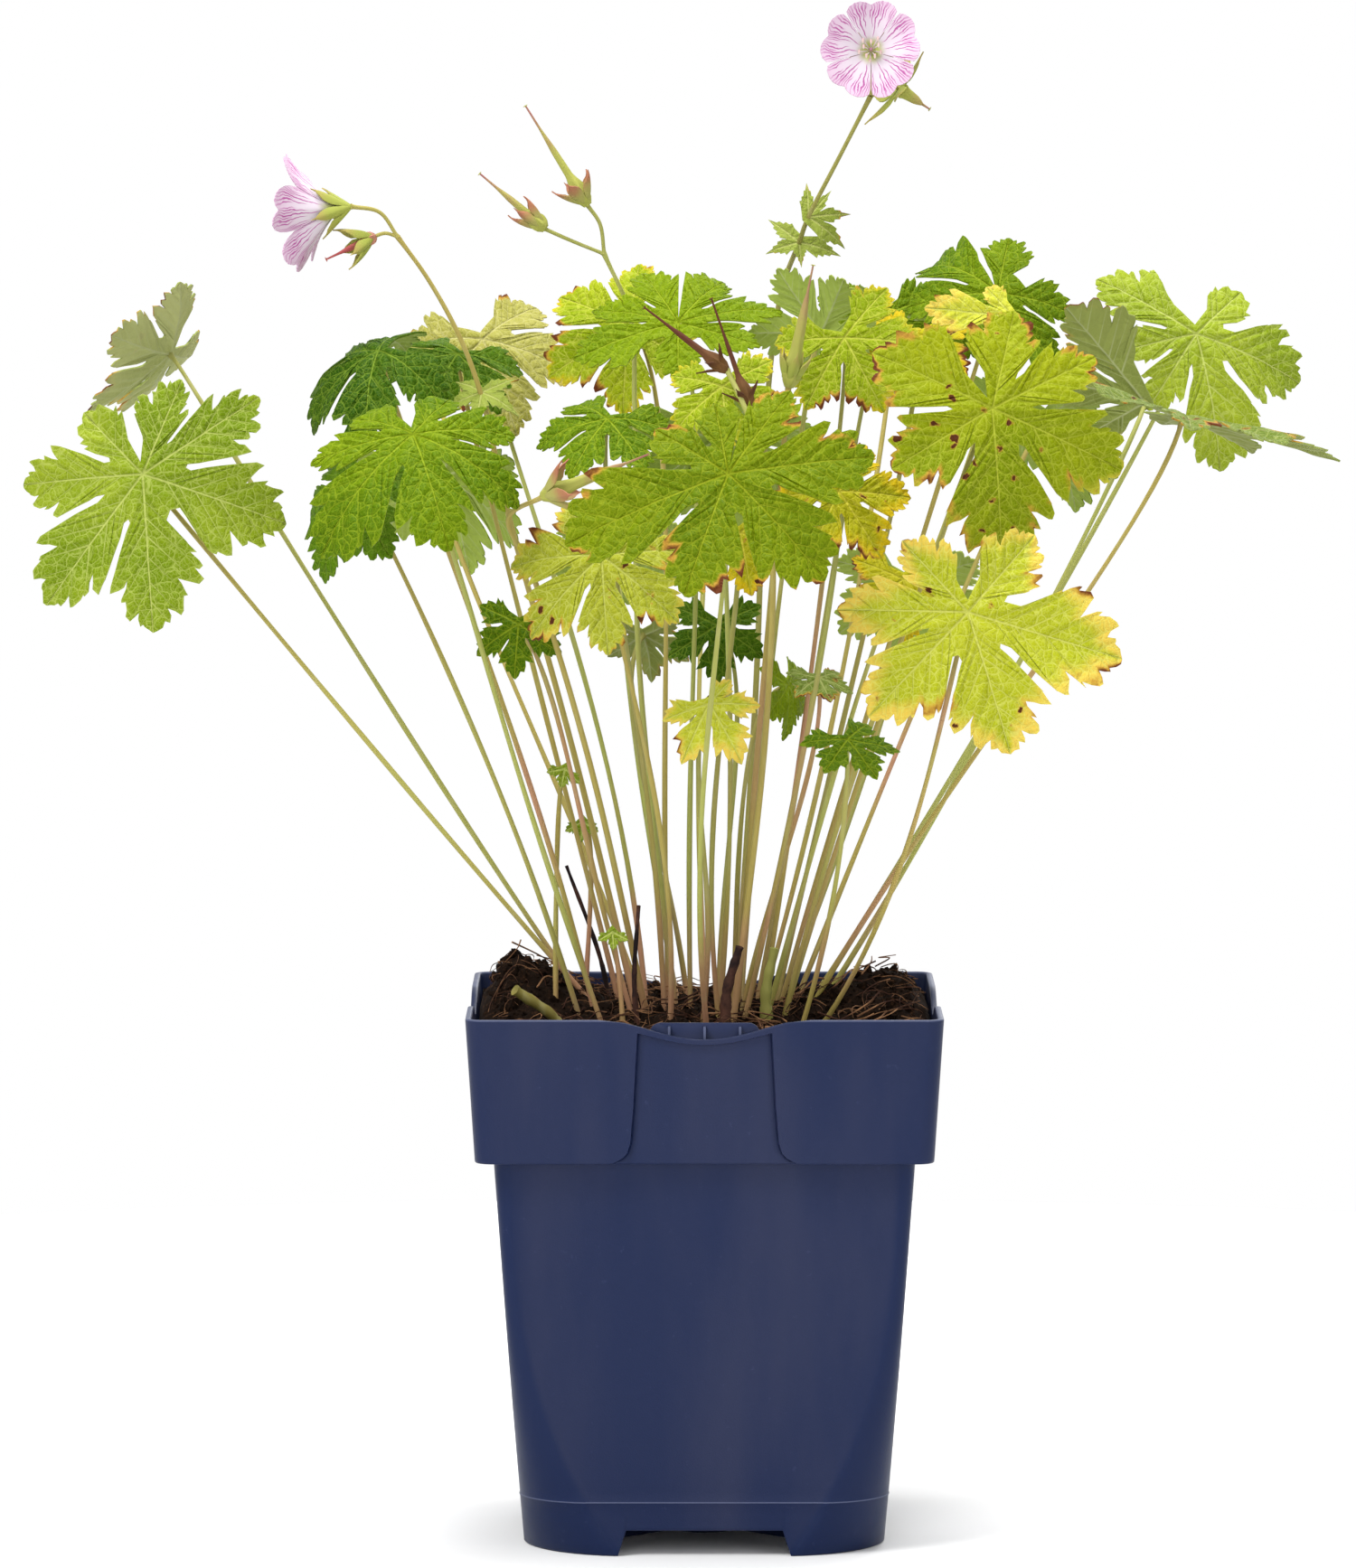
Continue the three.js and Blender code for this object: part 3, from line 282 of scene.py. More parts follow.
def through(points: tuple[Point, ...] | list[np.ndarray], steps: int) -> np.ndarray:
    """A smooth line through points, with even steps between each two of them.

    Args:
        points: the points to pass through.
        steps: how many steps lie between neighbouring points.

    Returns:
        The places along the line, n by 3.
    """
    knots = [np.array(point, float) for point in points]
    knots = [2 * knots[0] - knots[1], *knots, 2 * knots[-1] - knots[-2]]
    line = []
    for p0, p1, p2, p3 in zip(knots, knots[1:], knots[2:], knots[3:]):
        d0, d1, d2 = (max(np.linalg.norm(b - a), WELD) ** 0.5 for a, b in ((p0, p1), (p1, p2), (p2, p3)))
        m1 = ((p1 - p0) / d0 - (p2 - p0) / (d0 + d1) + (p2 - p1) / d1) * d1
        m2 = ((p2 - p1) / d1 - (p3 - p1) / (d1 + d2) + (p3 - p2) / d2) * d1
        for t in np.arange(steps) / steps:
            line.append(
                (2 * t**3 - 3 * t**2 + 1) * p1
                + (t**3 - 2 * t**2 + t) * m1
                + (3 * t**2 - 2 * t**3) * p2
                + (t**3 - t**2) * m2
            )
    return np.array([*line, knots[-2]])


# ------------------------------------------------------------------------------------ finishes


class Nodes:
    """A node tree, with short calls for its nodes."""

    prefix = ""

    def __init__(self, tree: bpy.types.NodeTree) -> None:
        """Takes up a tree."""
        self.tree = tree

    def node(self, kind: str, inputs: dict[str | int, Given], **settings: str | bool) -> bpy.types.Node:
        """Makes a node.

        Args:
            kind: the node's type, without its prefix.
            inputs: a value or a socket for each named or numbered input.
            settings: properties of the node itself.

        Returns:
            The node.
        """
        made = self.tree.nodes.new(self.prefix + kind)
        for key, value in settings.items():
            setattr(made, key, value)
        for key, value in inputs.items():
            self.put(made.inputs[key], value)
        return made

    def put(self, socket: Socket, value: Given) -> None:
        """Links a socket to an input, or sets the input's value.

        Args:
            socket: the input.
            value: a socket or a value.
        """
        if isinstance(value, Socket):
            self.tree.links.new(value, socket)
        else:
            socket.default_value = value


class Wiring(Nodes):
    """A material's node tree."""

    prefix = "ShaderNode"

    def __init__(self, name: str) -> None:
        """Makes the material with its one shader.

        Args:
            name: the material's name.
        """
        self.material = bpy.data.materials.new(name)
        self.material.use_nodes = True
        super().__init__(self.material.node_tree)
        self.shader = self.tree.nodes["Principled BSDF"]
        self.place = self.node("TexCoord", {}).outputs["Object"]

    def chart(self, name: str) -> Socket:
        """One of the mesh's two maps."""
        return self.node("UVMap", {}, uv_map=name).outputs[0]

    def tint(self) -> tuple[Socket, Socket, Socket, Socket]:
        """The tint's four values."""
        tint = self.node("Attribute", {}, attribute_name="tint").outputs
        return (*self.node("SeparateColor", {0: tint["Color"]}).outputs[:3], tint["Alpha"])

    def parts(self, value: Socket) -> tuple[Socket, Socket, Socket]:
        """A vector's three values."""
        return tuple(self.node("SeparateXYZ", {0: value}).outputs[:3])

    def vector(self, kind: str, a: Given, b: Given) -> Socket:
        """The result of a Vector Math node; for SCALE, b is a number."""
        second = "Scale" if kind == "SCALE" else 1
        return self.node("VectorMath", {0: a, second: b}, operation=kind).outputs[0]

    def math(self, kind: str, a: Given, b: Given = 0.0, c: Given = 0.0, clamp: bool = False) -> Socket:
        """The result of a Math node."""
        return self.node("Math", {0: a, 1: b, 2: c}, operation=kind, use_clamp=clamp).outputs[0]

    def times(self, a: Given, b: Given) -> Socket:
        """The product of two values."""
        return self.math("MULTIPLY", a, b)

    def scaled(self, value: Given, factor: Given, more: Given) -> Socket:
        """A value times a factor, with more added."""
        return self.math("MULTIPLY_ADD", value, factor, more)

    def most(self, a: Given, b: Given) -> Socket:
        """The greater of two values."""
        return self.math("MAXIMUM", a, b)

    def rest(self, value: Given) -> Socket:
        """What a value leaves of one."""
        return self.math("SUBTRACT", 1.0, value)

    def away(self, value: Given, mark: Given) -> Socket:
        """How far a value is from a mark."""
        return self.math("ABSOLUTE", self.math("SUBTRACT", value, mark))

    def step(self, value: Given, low: float, high: float) -> Socket:
        """0 where the value is at low, 1 at high, and smooth between them.

        Args:
            value: the value.
            low: where the step starts.
            high: where it ends.

        Returns:
            The step, from 0 to 1.
        """
        inputs = {"Value": value, "From Min": low, "From Max": high}
        return self.node("MapRange", inputs, interpolation_type="SMOOTHSTEP").outputs["Result"]

    def mix(self, share: Given, a: Given, b: Given) -> Socket:
        """Colour a turned into colour b by a share."""
        return self.node("Mix", {0: share, 6: a, 7: b}, data_type="RGBA").outputs[2]

    def noise(
        self, scale: float, detail: float = 3.0, place: Socket | None = None, rough: float = 0.5
    ) -> Socket:
        """A noise about 0.5, at so many waves a metre."""
        inputs = {"Vector": place or self.place, "Scale": scale, "Detail": detail, "Roughness": rough}
        return self.node("TexNoise", inputs).outputs["Fac"]

    def cells(
        self, scale: float, place: Socket, feature: str = "F1"
    ) -> bpy.types.bpy_prop_collection:
        """The outputs of a Voronoi texture."""
        return self.node("TexVoronoi", {"Vector": place, "Scale": scale}, feature=feature).outputs

    def bump(
        self, height: Given, strength: float, distance: float, normal: Socket | None = None
    ) -> Socket:
        """The normal of a surface raised by a height.

        Args:
            height: the height.
            strength: the bump's strength, from 0 to 1.
            distance: the bump's height in metres.
            normal: the normal that it starts from.

        Returns:
            The new normal.
        """
        inputs = {"Strength": strength, "Distance": distance, "Height": height}
        if normal is not None:
            inputs["Normal"] = normal
        return self.node("Bump", inputs).outputs["Normal"]

    def surface(self, **inputs: Given) -> bpy.types.Material:
        """Sets the shader's inputs by their names, with _ for a space, and gives the material.

        Args:
            inputs: a value or a socket for each named input.

        Returns:
            The finished material.
        """
        for key, value in inputs.items():
            self.put(self.shader.inputs[key.replace("_", " ")], value)
        return self.material


def paint(red: int, green: int, blue: int) -> Colour:
    """The base colour that looks like a colour from 0 to 255 under the studio's bright light.

    Args:
        red: its red, from 0 to 255.
        green: its green.
        blue: its blue.

    Returns:
        The linear colour, with an alpha of 1.
    """
    shares = [value / 255 for value in (red, green, blue)]
    linear = [s / 12.92 if s <= 0.04045 else ((s + 0.055) / 1.055) ** 2.4 for s in shares]
    return (*(LIGHT * value for value in linear), 1.0)


@dataclass(frozen=True)
class Finish:
    """A procedural material and its name."""

    name: str

    def material(self) -> bpy.types.Material:
        """Builds the material.

        Returns:
            The finished material.
        """
        raise NotImplementedError


@dataclass(frozen=True)
class MouldedPlastic(Finish):
    """Navy plastic with a fine grain, slightly scuffed.

    The foot's moulding seam, the rim and the label tab's ribs have a painted highlight, and the flat sides
    a painted sheen in cloudy patches, so that the rounded corners, in the plain base colour, look shaded.
    Heights are in metres. The corners begin between round_from and round_to from the middle, nearer by
    taper and rounding at the foot.
    """

    name: str = "navy_plastic"
    base: Colour = paint(24, 39, 78)
    # painted sheen on the flat sides, in cloudy patches
    flat_sheen: Colour = paint(46, 53, 84)
    scuffed: Colour = paint(80, 90, 130)
    # the painted highlight's colour, for the seam, the rim and the tab's ribs
    lit: Colour = paint(120, 128, 160)
    seam_height: float = 0.01245
    rim_height: float = 0.1235
    collar_height: float = 0.0908
    rib_front: float = -0.0521
    rib_foot: float = 0.117
    rib_spacing: float = 0.008
    round_from: float = 0.0425
    round_to: float = 0.0446
    taper: float = 0.0025
    rounding: float = 0.023

    def material(self) -> bpy.types.Material:
        """Builds the material.

        Returns:
            The finished material.
        """
        w = Wiring(self.name)
        clouds = w.noise(44, 4, w.vector("MULTIPLY", w.place, (1, 1, 0.22)))
        scuffs = w.step(w.noise(420, 5, rough=0.7), 0.62, 0.8)
        # painted sheen in cloudy patches on the flat sides; the rounded corners keep the darker base colour
        # as painted shade
        share = w.times(w.scaled(w.step(clouds, 0.35, 0.7), 0.75, 0.15), w.rest(self.rounded(w)))
        colour = w.mix(share, self.base, self.flat_sheen)
        colour = w.mix(w.times(scuffs, 0.25), colour, self.scuffed)
        # painted highlight along the moulding seam, the rim and the fronts of the tab's ribs
        colour = w.mix(w.times(self.edges(w), 0.5), colour, self.lit)
        rough = w.scaled(w.noise(180, 4), 0.16, 0.32)
        grain = w.bump(w.noise(2600, 2), 0.3, 0.0001)
        grain = w.bump(clouds, 0.05, 0.001, grain)
        return w.surface(Base_Color=colour, Roughness=rough, Normal=grain, Specular_IOR_Level=0.12)

    def rounded(self, w: Wiring) -> Socket:
        """1 on the rounded corners below the collar, and 0 on the flat sides, which take the painted sheen;
        the corners, without it, look shaded.

        Args:
            w: the material's nodes.

        Returns:
            The share.
        """
        x, y, height = w.parts(w.place)
        across = w.math("MINIMUM", w.math("ABSOLUTE", x), w.math("ABSOLUTE", y))
        low = w.math("SUBTRACT", 1.0, w.math("DIVIDE", height, self.collar_height), clamp=True)
        drawn_in = w.scaled(low, self.taper, w.times(w.math("POWER", low, 3.0), self.rounding))
        turned = w.step(w.math("ADD", across, drawn_in), self.round_from, self.round_to)
        return w.times(turned, w.math("LESS_THAN", height, self.collar_height))

    def edges(self, w: Wiring) -> Socket:
        """Where the painted highlight goes: 1 on the seam, the rim and the fronts of the tab's ribs, and 0
        elsewhere.

        Args:
            w: the material's nodes.

        Returns:
            The share.
        """
        x, y, height = w.parts(w.place)
        seam = w.rest(w.step(w.away(height, self.seam_height), 0.00005, 0.00022))
        rim = w.step(height, self.rim_height, self.rim_height + 0.0004)
        rib = w.math("LESS_THAN", w.math("PINGPONG", x, self.rib_spacing / 2), 0.0003)
        rib = w.times(rib, w.math("GREATER_THAN", height, self.rib_foot))
        rib = w.times(rib, w.math("COMPARE", y, self.rib_front, 0.0001))
        return w.most(w.most(seam, rim), rib)


@dataclass(frozen=True)
class Peat(Finish):
    """Dark damp peat, in several browns."""

    name: str = "peat_soil"
    dark: Colour = paint(17, 9, 4)
    brown: Colour = paint(74, 50, 34)
    crumb: Colour = paint(30, 19, 12)

    def material(self) -> bpy.types.Material:
        """Builds the material.

        Returns:
            The finished material.
        """
        w = Wiring(self.name)
        colour = w.mix(w.step(w.noise(330, 6, rough=0.7), 0.42, 0.72), self.dark, self.brown)
        colour = w.mix(w.step(w.cells(900, w.place)["Distance"], 0.2, 0.6), colour, self.crumb)
        bumps = w.bump(w.noise(1500, 6, rough=0.7), 0.7, 0.0006)
        return w.surface(Base_Color=colour, Roughness=0.95, Normal=bumps, Specular_IOR_Level=0.06)


@dataclass(frozen=True)
class DryFibre(Finish):
    """Dry roots and peat fibres, or a dead stalk."""

    name: str = "dry_fibre"
    dark: Colour = paint(66, 38, 26)
    light: Colour = paint(180, 132, 92)

    def material(self) -> bpy.types.Material:
        """Builds the material.

        Returns:
            The finished material.
        """
        w = Wiring(self.name)
        colour = w.mix(w.step(w.noise(90, 4, rough=0.65), 0.42, 0.68), self.dark, self.light)
        bumps = w.bump(w.noise(1400, 2), 0.2, 0.0002)
        return w.surface(Base_Color=colour, Roughness=0.85, Normal=bumps, Specular_IOR_Level=0.15)


@dataclass(frozen=True)
class StemSkin(Finish):
    """A hairy green stem that is reddish near the soil, up to a height in metres.

    The tint's first value, the stem's own number, makes one stem greener or darker than the next.
    """

    name: str = "green_stem_skin"
    green: Colour = paint(184, 188, 98)
    olive: Colour = paint(190, 172, 90)
    red: Colour = paint(206, 152, 118)
    dark: Colour = paint(156, 148, 78)
    streak: Colour = paint(206, 200, 144)
    red_from: float = 0.1
    red_to: float = 0.17

    def material(self) -> bpy.types.Material:
        """Builds the material.

        Returns:
            The finished material.
        """
        w = Wiring(self.name)
        patches = w.noise(22, 2)
        streaks = w.noise(400, 1, w.vector("MULTIPLY", w.place, (1, 1, 0.08)))
        own = w.tint()[0]
        wavy = w.scaled(patches, 0.09, w.math("SUBTRACT", w.parts(w.place)[2], 0.045))
        high = w.step(w.scaled(w.step(own, 0.55, 1.0), -0.08, wavy), self.red_from, self.red_to)
        kind = w.scaled(w.math("FRACT", w.times(own, 3.7)), 0.5, w.times(patches, 0.5))
        darker = w.step(w.math("FRACT", w.times(own, 7.3)), 0.45, 0.9)
        colour = w.mix(w.step(kind, 0.3, 0.6), self.olive, self.green)
        colour = w.mix(w.times(darker, 0.6), colour, self.dark)
        colour = w.mix(high, w.mix(w.step(patches, 0.4, 0.6), self.red, self.olive), colour)
        colour = w.mix(w.times(w.step(streaks, 0.5, 0.8), 0.25), colour, self.streak)
        return w.surface(
            Base_Color=colour, Roughness=0.6, Normal=w.bump(streaks, 0.1, 0.0001), Specular_IOR_Level=0.2
        )


@dataclass(frozen=True)
class LeafSkin(Finish):
    """A veined leaf: its upper side, its paler under side, and where it yellows and browns.

    yellow, brown and spots are shares from 0 to 1, net is how clear the fine veins are, and meshes how
    many of them lie side by side in the flattened blade's map. relief is how far the blade swells
    between the veins, in metres.
    """

    base: Colour
    deep: Colour
    vein: Colour
    under: Colour = paint(170, 190, 88)
    yellow: float = 0.0
    yellow_tone: Colour = paint(226, 206, 74)
    brown: float = 0.0
    spots: float = 0.0
    net: float = 0.7
    relief: float = 0.00025
    under_vein: Colour = paint(190, 196, 150)
    scorched: Colour = paint(206, 160, 60)
    dead: Colour = paint(112, 58, 30)
    ring: Colour = paint(196, 134, 60)
    heart: Colour = paint(88, 46, 22)
    meshes: Pair = (42, 125)

    def material(self) -> bpy.types.Material:
        """Builds the material.

        Returns:
            The finished material.
        """
        w = Wiring(self.name)
        number, across, _ = w.parts(w.chart("vein"))
        rib, along, below, leaf = w.tint()
        off = w.away(w.math("FRACT", w.scaled(number, 8.0, 0.5)), 0.5)
        veins = self.veins(w, rib, along, across, off)
        flat = w.chart("flat")
        wander = w.node("TexNoise", {"Vector": flat, "Scale": 30.0, "Detail": 2.0}).outputs["Color"]
        flat = w.vector("ADD", flat, w.vector("SCALE", wander, 0.02))
        coarse, fine = (w.cells(scale, flat, "DISTANCE_TO_EDGE")["Distance"] for scale in self.meshes)
        lines = w.most(veins, w.times(w.rest(w.step(coarse, 0.01, 0.07)), self.net))
        lines = w.most(lines, w.times(w.rest(w.step(fine, 0.02, 0.12)), self.net * 0.5))

        broad = w.noise(34, 3)
        tone = w.math("ADD", w.times(broad, 0.7), w.times(leaf, 0.3))
        colour = w.mix(w.step(tone, 0.3, 0.68), self.base, self.deep)
        # painted shade: the blade turns towards the deep colour beside each side vein, where it dips into
        # the vein's groove
        colour = w.mix(w.times(w.rest(w.step(off, 0.05, 0.3)), 0.15), colour, self.deep)
        if self.yellow:
            colour = self.yellowed(w, colour, along, across)
        fringe = w.times(w.step(across, 0.93, 1.0), 0.4)
        colour = w.mix(w.most(w.times(lines, 0.75), fringe), colour, self.vein)
        if self.brown:
            colour = self.browned(w, colour, along, across)
        if self.spots:
            colour = self.spotted(w, colour, flat)
        pale = w.mix(w.times(w.step(broad, 0.35, 0.7), 0.4), self.under, colour)
        pale = w.mix(w.times(veins, 0.5), pale, self.under_vein)
        colour = w.mix(below, colour, pale)

        swell = w.scaled(w.step(fine, 0.0, 0.3), 0.22, w.times(w.step(coarse, 0.0, 0.34), 0.75))
        swell = w.times(swell, w.scaled(below, -0.6, 1.0))
        sunken = w.most(w.times(veins, 0.5), w.times(below, 0.4))
        relief = w.bump(w.math("SUBTRACT", swell, sunken), 1.0, self.relief)
        relief = w.bump(w.noise(2600, 3), 0.25, 0.00008, relief)
        rough = w.scaled(w.noise(160, 4, rough=0.6), 0.2, 0.42)
        return w.surface(Base_Color=colour, Roughness=rough, Normal=relief, Specular_IOR_Level=0.05)

    def veins(self, w: Wiring, rib: Socket, along: Socket, across: Socket, off: Socket) -> Socket:
        """The midribs and the side veins, each thinner towards its end.

        Args:
            w: the material's nodes.
            rib: the distance from the midrib.
            along: the share of the way along the lobe.
            across: the share of the way from the midrib to the edge.
            off: how far the nearest side vein is, in gaps between two of them.

        Returns:
            1 on a vein and 0 between them.
        """
        main = w.rest(w.step(w.math("DIVIDE", rib, w.scaled(along, -0.045, 0.085)), 0.3, 1.0))
        branch = w.rest(w.step(w.math("DIVIDE", off, w.scaled(across, -0.035, 0.06)), 0.3, 1.0))
        return w.most(main, w.times(branch, w.scaled(across, -0.55, 0.9)))

    def yellowed(self, w: Wiring, colour: Socket, along: Socket, across: Socket) -> Socket:
        """The colour turned yellow from the edge and the tips inwards.

        Args:
            w: the material's nodes.
            colour: the colour so far.
            along: the share of the way along the lobe.
            across: the share of the way to the edge.

        Returns:
            The new colour.
        """
        edge = w.scaled(across, 0.3, w.times(along, 0.55))
        turning = w.math("ADD", edge, w.times(w.noise(52, 3), 0.5))
        share = w.step(turning, 1.15 - 0.75 * self.yellow, 1.4 - 0.75 * self.yellow)
        return w.mix(share, colour, self.yellow_tone)

    def browned(self, w: Wiring, colour: Socket, along: Socket, across: Socket) -> Socket:
        """The colour scorched, and then dead and brown, in patches along the edge.

        Args:
            w: the material's nodes.
            colour: the colour so far.
            along: the share of the way along the lobe.
            across: the share of the way to the edge.

        Returns:
            The new colour.
        """
        edge = w.times(w.step(across, 0.6, 1.0), w.step(along, 0.4, 0.85))
        edge = w.times(edge, w.step(w.noise(95, 4), 0.62 - 0.22 * self.brown, 0.66))
        colour = w.mix(w.step(edge, 0.1, 0.5), colour, self.scorched)
        return w.mix(w.step(edge, 0.35, 0.8), colour, self.dead)

    def spotted(self, w: Wiring, colour: Socket, flat: Socket) -> Socket:
        """The colour with brown spots in paler rings, scattered over the flattened blade.

        Args:
            w: the material's nodes.
            colour: the colour so far.
            flat: the flattened blade's map.

        Returns:
            The new colour.
        """
        dots = w.cells(34, flat)
        pick = w.node("SeparateColor", {0: dots["Color"]}).outputs[0]
        chosen = w.step(pick, 1.0 - self.spots, 1.02 - self.spots)
        off = w.math("SUBTRACT", dots["Distance"], w.scaled(w.noise(420, 4), 1.5, -0.6))
        ring = w.times(w.rest(w.step(off, 0.0, 0.14)), chosen)
        colour = w.mix(w.times(ring, 0.6), colour, self.ring)
        return w.mix(w.times(w.rest(w.step(off, -0.06, 0.04)), chosen), colour, self.heart)


@dataclass(frozen=True)
class PetalSkin(Finish):
    """A pale pink petal with a greenish base and branching darker veins.

    Each row of veins has how many there are in the map's width, where they start and their width.
    """

    name: str = "pink_petal"
    base: Colour = paint(246, 232, 244)
    rim: Colour = paint(240, 208, 232)
    vein: Colour = paint(198, 98, 172)
    throat: Colour = paint(196, 200, 116)
    rows: tuple[tuple[float, float, float], ...] = ((5, 0.25, 0.06), (10, 0.45, 0.09), (20, 0.66, 0.14))

    def material(self) -> bpy.types.Material:
        """Builds the material.

        Returns:
            The finished material.
        """
        w = Wiring(self.name)
        across, along, _ = w.parts(w.chart("vein"))
        wander = w.scaled(w.noise(260, 3), 0.12, across)
        lines = 0.0
        for count, start, width in self.rows:
            off = w.away(w.math("FRACT", w.times(wander, count)), 0.5)
            line = w.times(w.rest(w.step(off, width * 0.3, width)), w.step(along, start, start + 0.12))
            lines = w.most(lines, line)
        lines = w.times(lines, w.scaled(w.rest(w.step(along, 0.82, 1.0)), 0.6, 0.4))
        colour = w.mix(w.step(along, 0.45, 1.05), self.base, self.rim)
        colour = w.mix(w.rest(w.step(along, 0.14, 0.36)), colour, self.throat)
        colour = w.mix(lines, colour, self.vein)
        relief = w.bump(lines, 0.2, 0.00008)
        return w.surface(Base_Color=colour, Roughness=0.5, Normal=relief, Specular_IOR_Level=0.1)


@dataclass(frozen=True)
class PlainSkin(Finish):
    """One colour that turns into a second one along the piece and by patches."""

    low: Colour
    high: Colour
    rough: float = 0.6
    patch: float = 260.0
    turn: float = 0.5

    def material(self) -> bpy.types.Material:
        """Builds the material.

        Returns:
            The finished material.
        """
        w = Wiring(self.name)
        mottle = w.noise(self.patch, 4)
        wavy = w.math("ADD", w.tint()[1], w.scaled(mottle, 0.5, -0.25))
        colour = w.mix(w.step(wavy, self.turn - 0.25, self.turn + 0.25), self.low, self.high)
        relief = w.bump(mottle, 0.2, 0.00012)
        return w.surface(Base_Color=colour, Roughness=self.rough, Normal=relief, Specular_IOR_Level=0.1)


# ------------------------------------------------------------------------------------ leaf blades


def direction_frame(face: Pair, roll: float) -> tuple[np.ndarray, np.ndarray, np.ndarray]:
    """The directions of a blade.

    Args:
        face: azimuth and elevation of its upper side in degrees, azimuth 0 towards the front.
        roll: turn of its middle lobe from straight down, in degrees.

    Returns:
        Its upper side, its middle lobe, and the direction to that lobe's left.
    """
    az, el, turn = (math.radians(angle) for angle in (*face, roll))
    normal = np.array([math.sin(az) * math.cos(el), -math.cos(az) * math.cos(el), math.sin(el)])
    down = np.array([math.sin(az) * math.sin(el), -math.cos(az) * math.sin(el), -math.cos(el)])
    tip = down * math.cos(turn) + np.cross(normal, down) * math.sin(turn)
    return normal, tip, np.cross(normal, tip)


class Edge(Enum):
    """Half of a lobe's edge, from the cut to the tip.

    Each point is its share of the lobe's length, its share of the half width, and the number of the
    side vein that ends there, or 0.
    """

    BROAD = (
        (0.31, 0.42, 0), (0.38, 0.58, 0), (0.45, 0.78, 0), (0.500, 0.95, 0), (0.530, 1.01, 1),
        (0.528, 0.92, 0), (0.575, 1.05, 0), (0.615, 1.12, 0), (0.645, 1.12, 2), (0.636, 1.02, 0),
        (0.690, 1.06, 0), (0.735, 1.03, 3), (0.725, 0.90, 0), (0.695, 0.74, 0), (0.670, 0.58, 0),
        (0.720, 0.66, 0), (0.775, 0.75, 0), (0.800, 0.75, 4), (0.793, 0.66, 0), (0.845, 0.70, 0),
        (0.890, 0.68, 0), (0.910, 0.62, 5), (0.892, 0.48, 0), (0.868, 0.35, 0), (0.915, 0.38, 0),
        (0.942, 0.34, 6), (0.935, 0.25, 0), (0.970, 0.20, 0), (0.990, 0.10, 0), (1.0, 0.0, 7),
    )
    MIDDLING = (
        (0.33, 0.45, 0), (0.42, 0.68, 0), (0.49, 0.94, 0), (0.53, 1.00, 1), (0.525, 0.88, 0),
        (0.60, 1.08, 0), (0.64, 1.10, 2), (0.635, 0.98, 0), (0.69, 1.06, 0), (0.735, 1.03, 3),
        (0.715, 0.82, 0), (0.675, 0.58, 0), (0.74, 0.72, 0), (0.80, 0.74, 4), (0.795, 0.62, 0),
        (0.87, 0.68, 0), (0.905, 0.61, 5), (0.885, 0.45, 0), (0.865, 0.32, 0), (0.92, 0.36, 0),
        (0.945, 0.31, 6), (0.94, 0.20, 0), (0.985, 0.11, 0), (1.0, 0.0, 7),
    )
    NARROW = (
        (0.35, 0.50, 0), (0.50, 0.84, 0), (0.60, 1.00, 1), (0.60, 0.86, 0), (0.72, 1.04, 2),
        (0.70, 0.80, 0), (0.68, 0.56, 0), (0.78, 0.60, 0), (0.87, 0.53, 3), (0.86, 0.32, 0),
        (0.94, 0.20, 0), (1.0, 0.0, 4),
    )
    STUBBY = (
        (0.40, 0.50, 0), (0.55, 0.84, 0), (0.66, 1.00, 1), (0.66, 0.86, 0), (0.76, 1.04, 2),
        (0.745, 0.78, 0), (0.84, 0.76, 0), (0.92, 0.60, 3), (0.91, 0.36, 0), (0.96, 0.20, 0),
        (1.0, 0.0, 4),
    )
    BRACT = (
        (0.30, 0.72, 0), (0.42, 0.95, 1), (0.45, 0.66, 0), (0.56, 0.70, 2), (0.59, 0.44, 0),
        (0.72, 0.40, 3), (0.75, 0.22, 0), (1.0, 0.0, 4),
    )
    SEPAL = (
        (0.28, 0.72, 0), (0.38, 0.94, 0), (0.50, 1.0, 0), (0.62, 0.88, 0), (0.74, 0.62, 0),
        (0.83, 0.30, 0), (0.88, 0.12, 0), (1.0, 0.0, 1),
    )
    PETAL = (
        (0.28, 0.56, 0), (0.42, 0.80, 0), (0.55, 0.92, 0), (0.68, 0.97, 0), (0.79, 0.94, 0),
        (0.89, 0.84, 0), (0.97, 0.63, 0), (1.0, 0.40, 0), (0.98, 0.18, 0), (0.93, 0.0, 1),
    )


@dataclass(frozen=True)
class Lobe:
    """One lobe of a blade: its angle from the middle lobe in radians and its share of the radius."""

    angle: float
    share: float


@dataclass(frozen=True)
class Cut:
    """The cut between two lobes: its distance, and half the angle that it divides."""

    distance: float
    half: float
    is_notch: bool


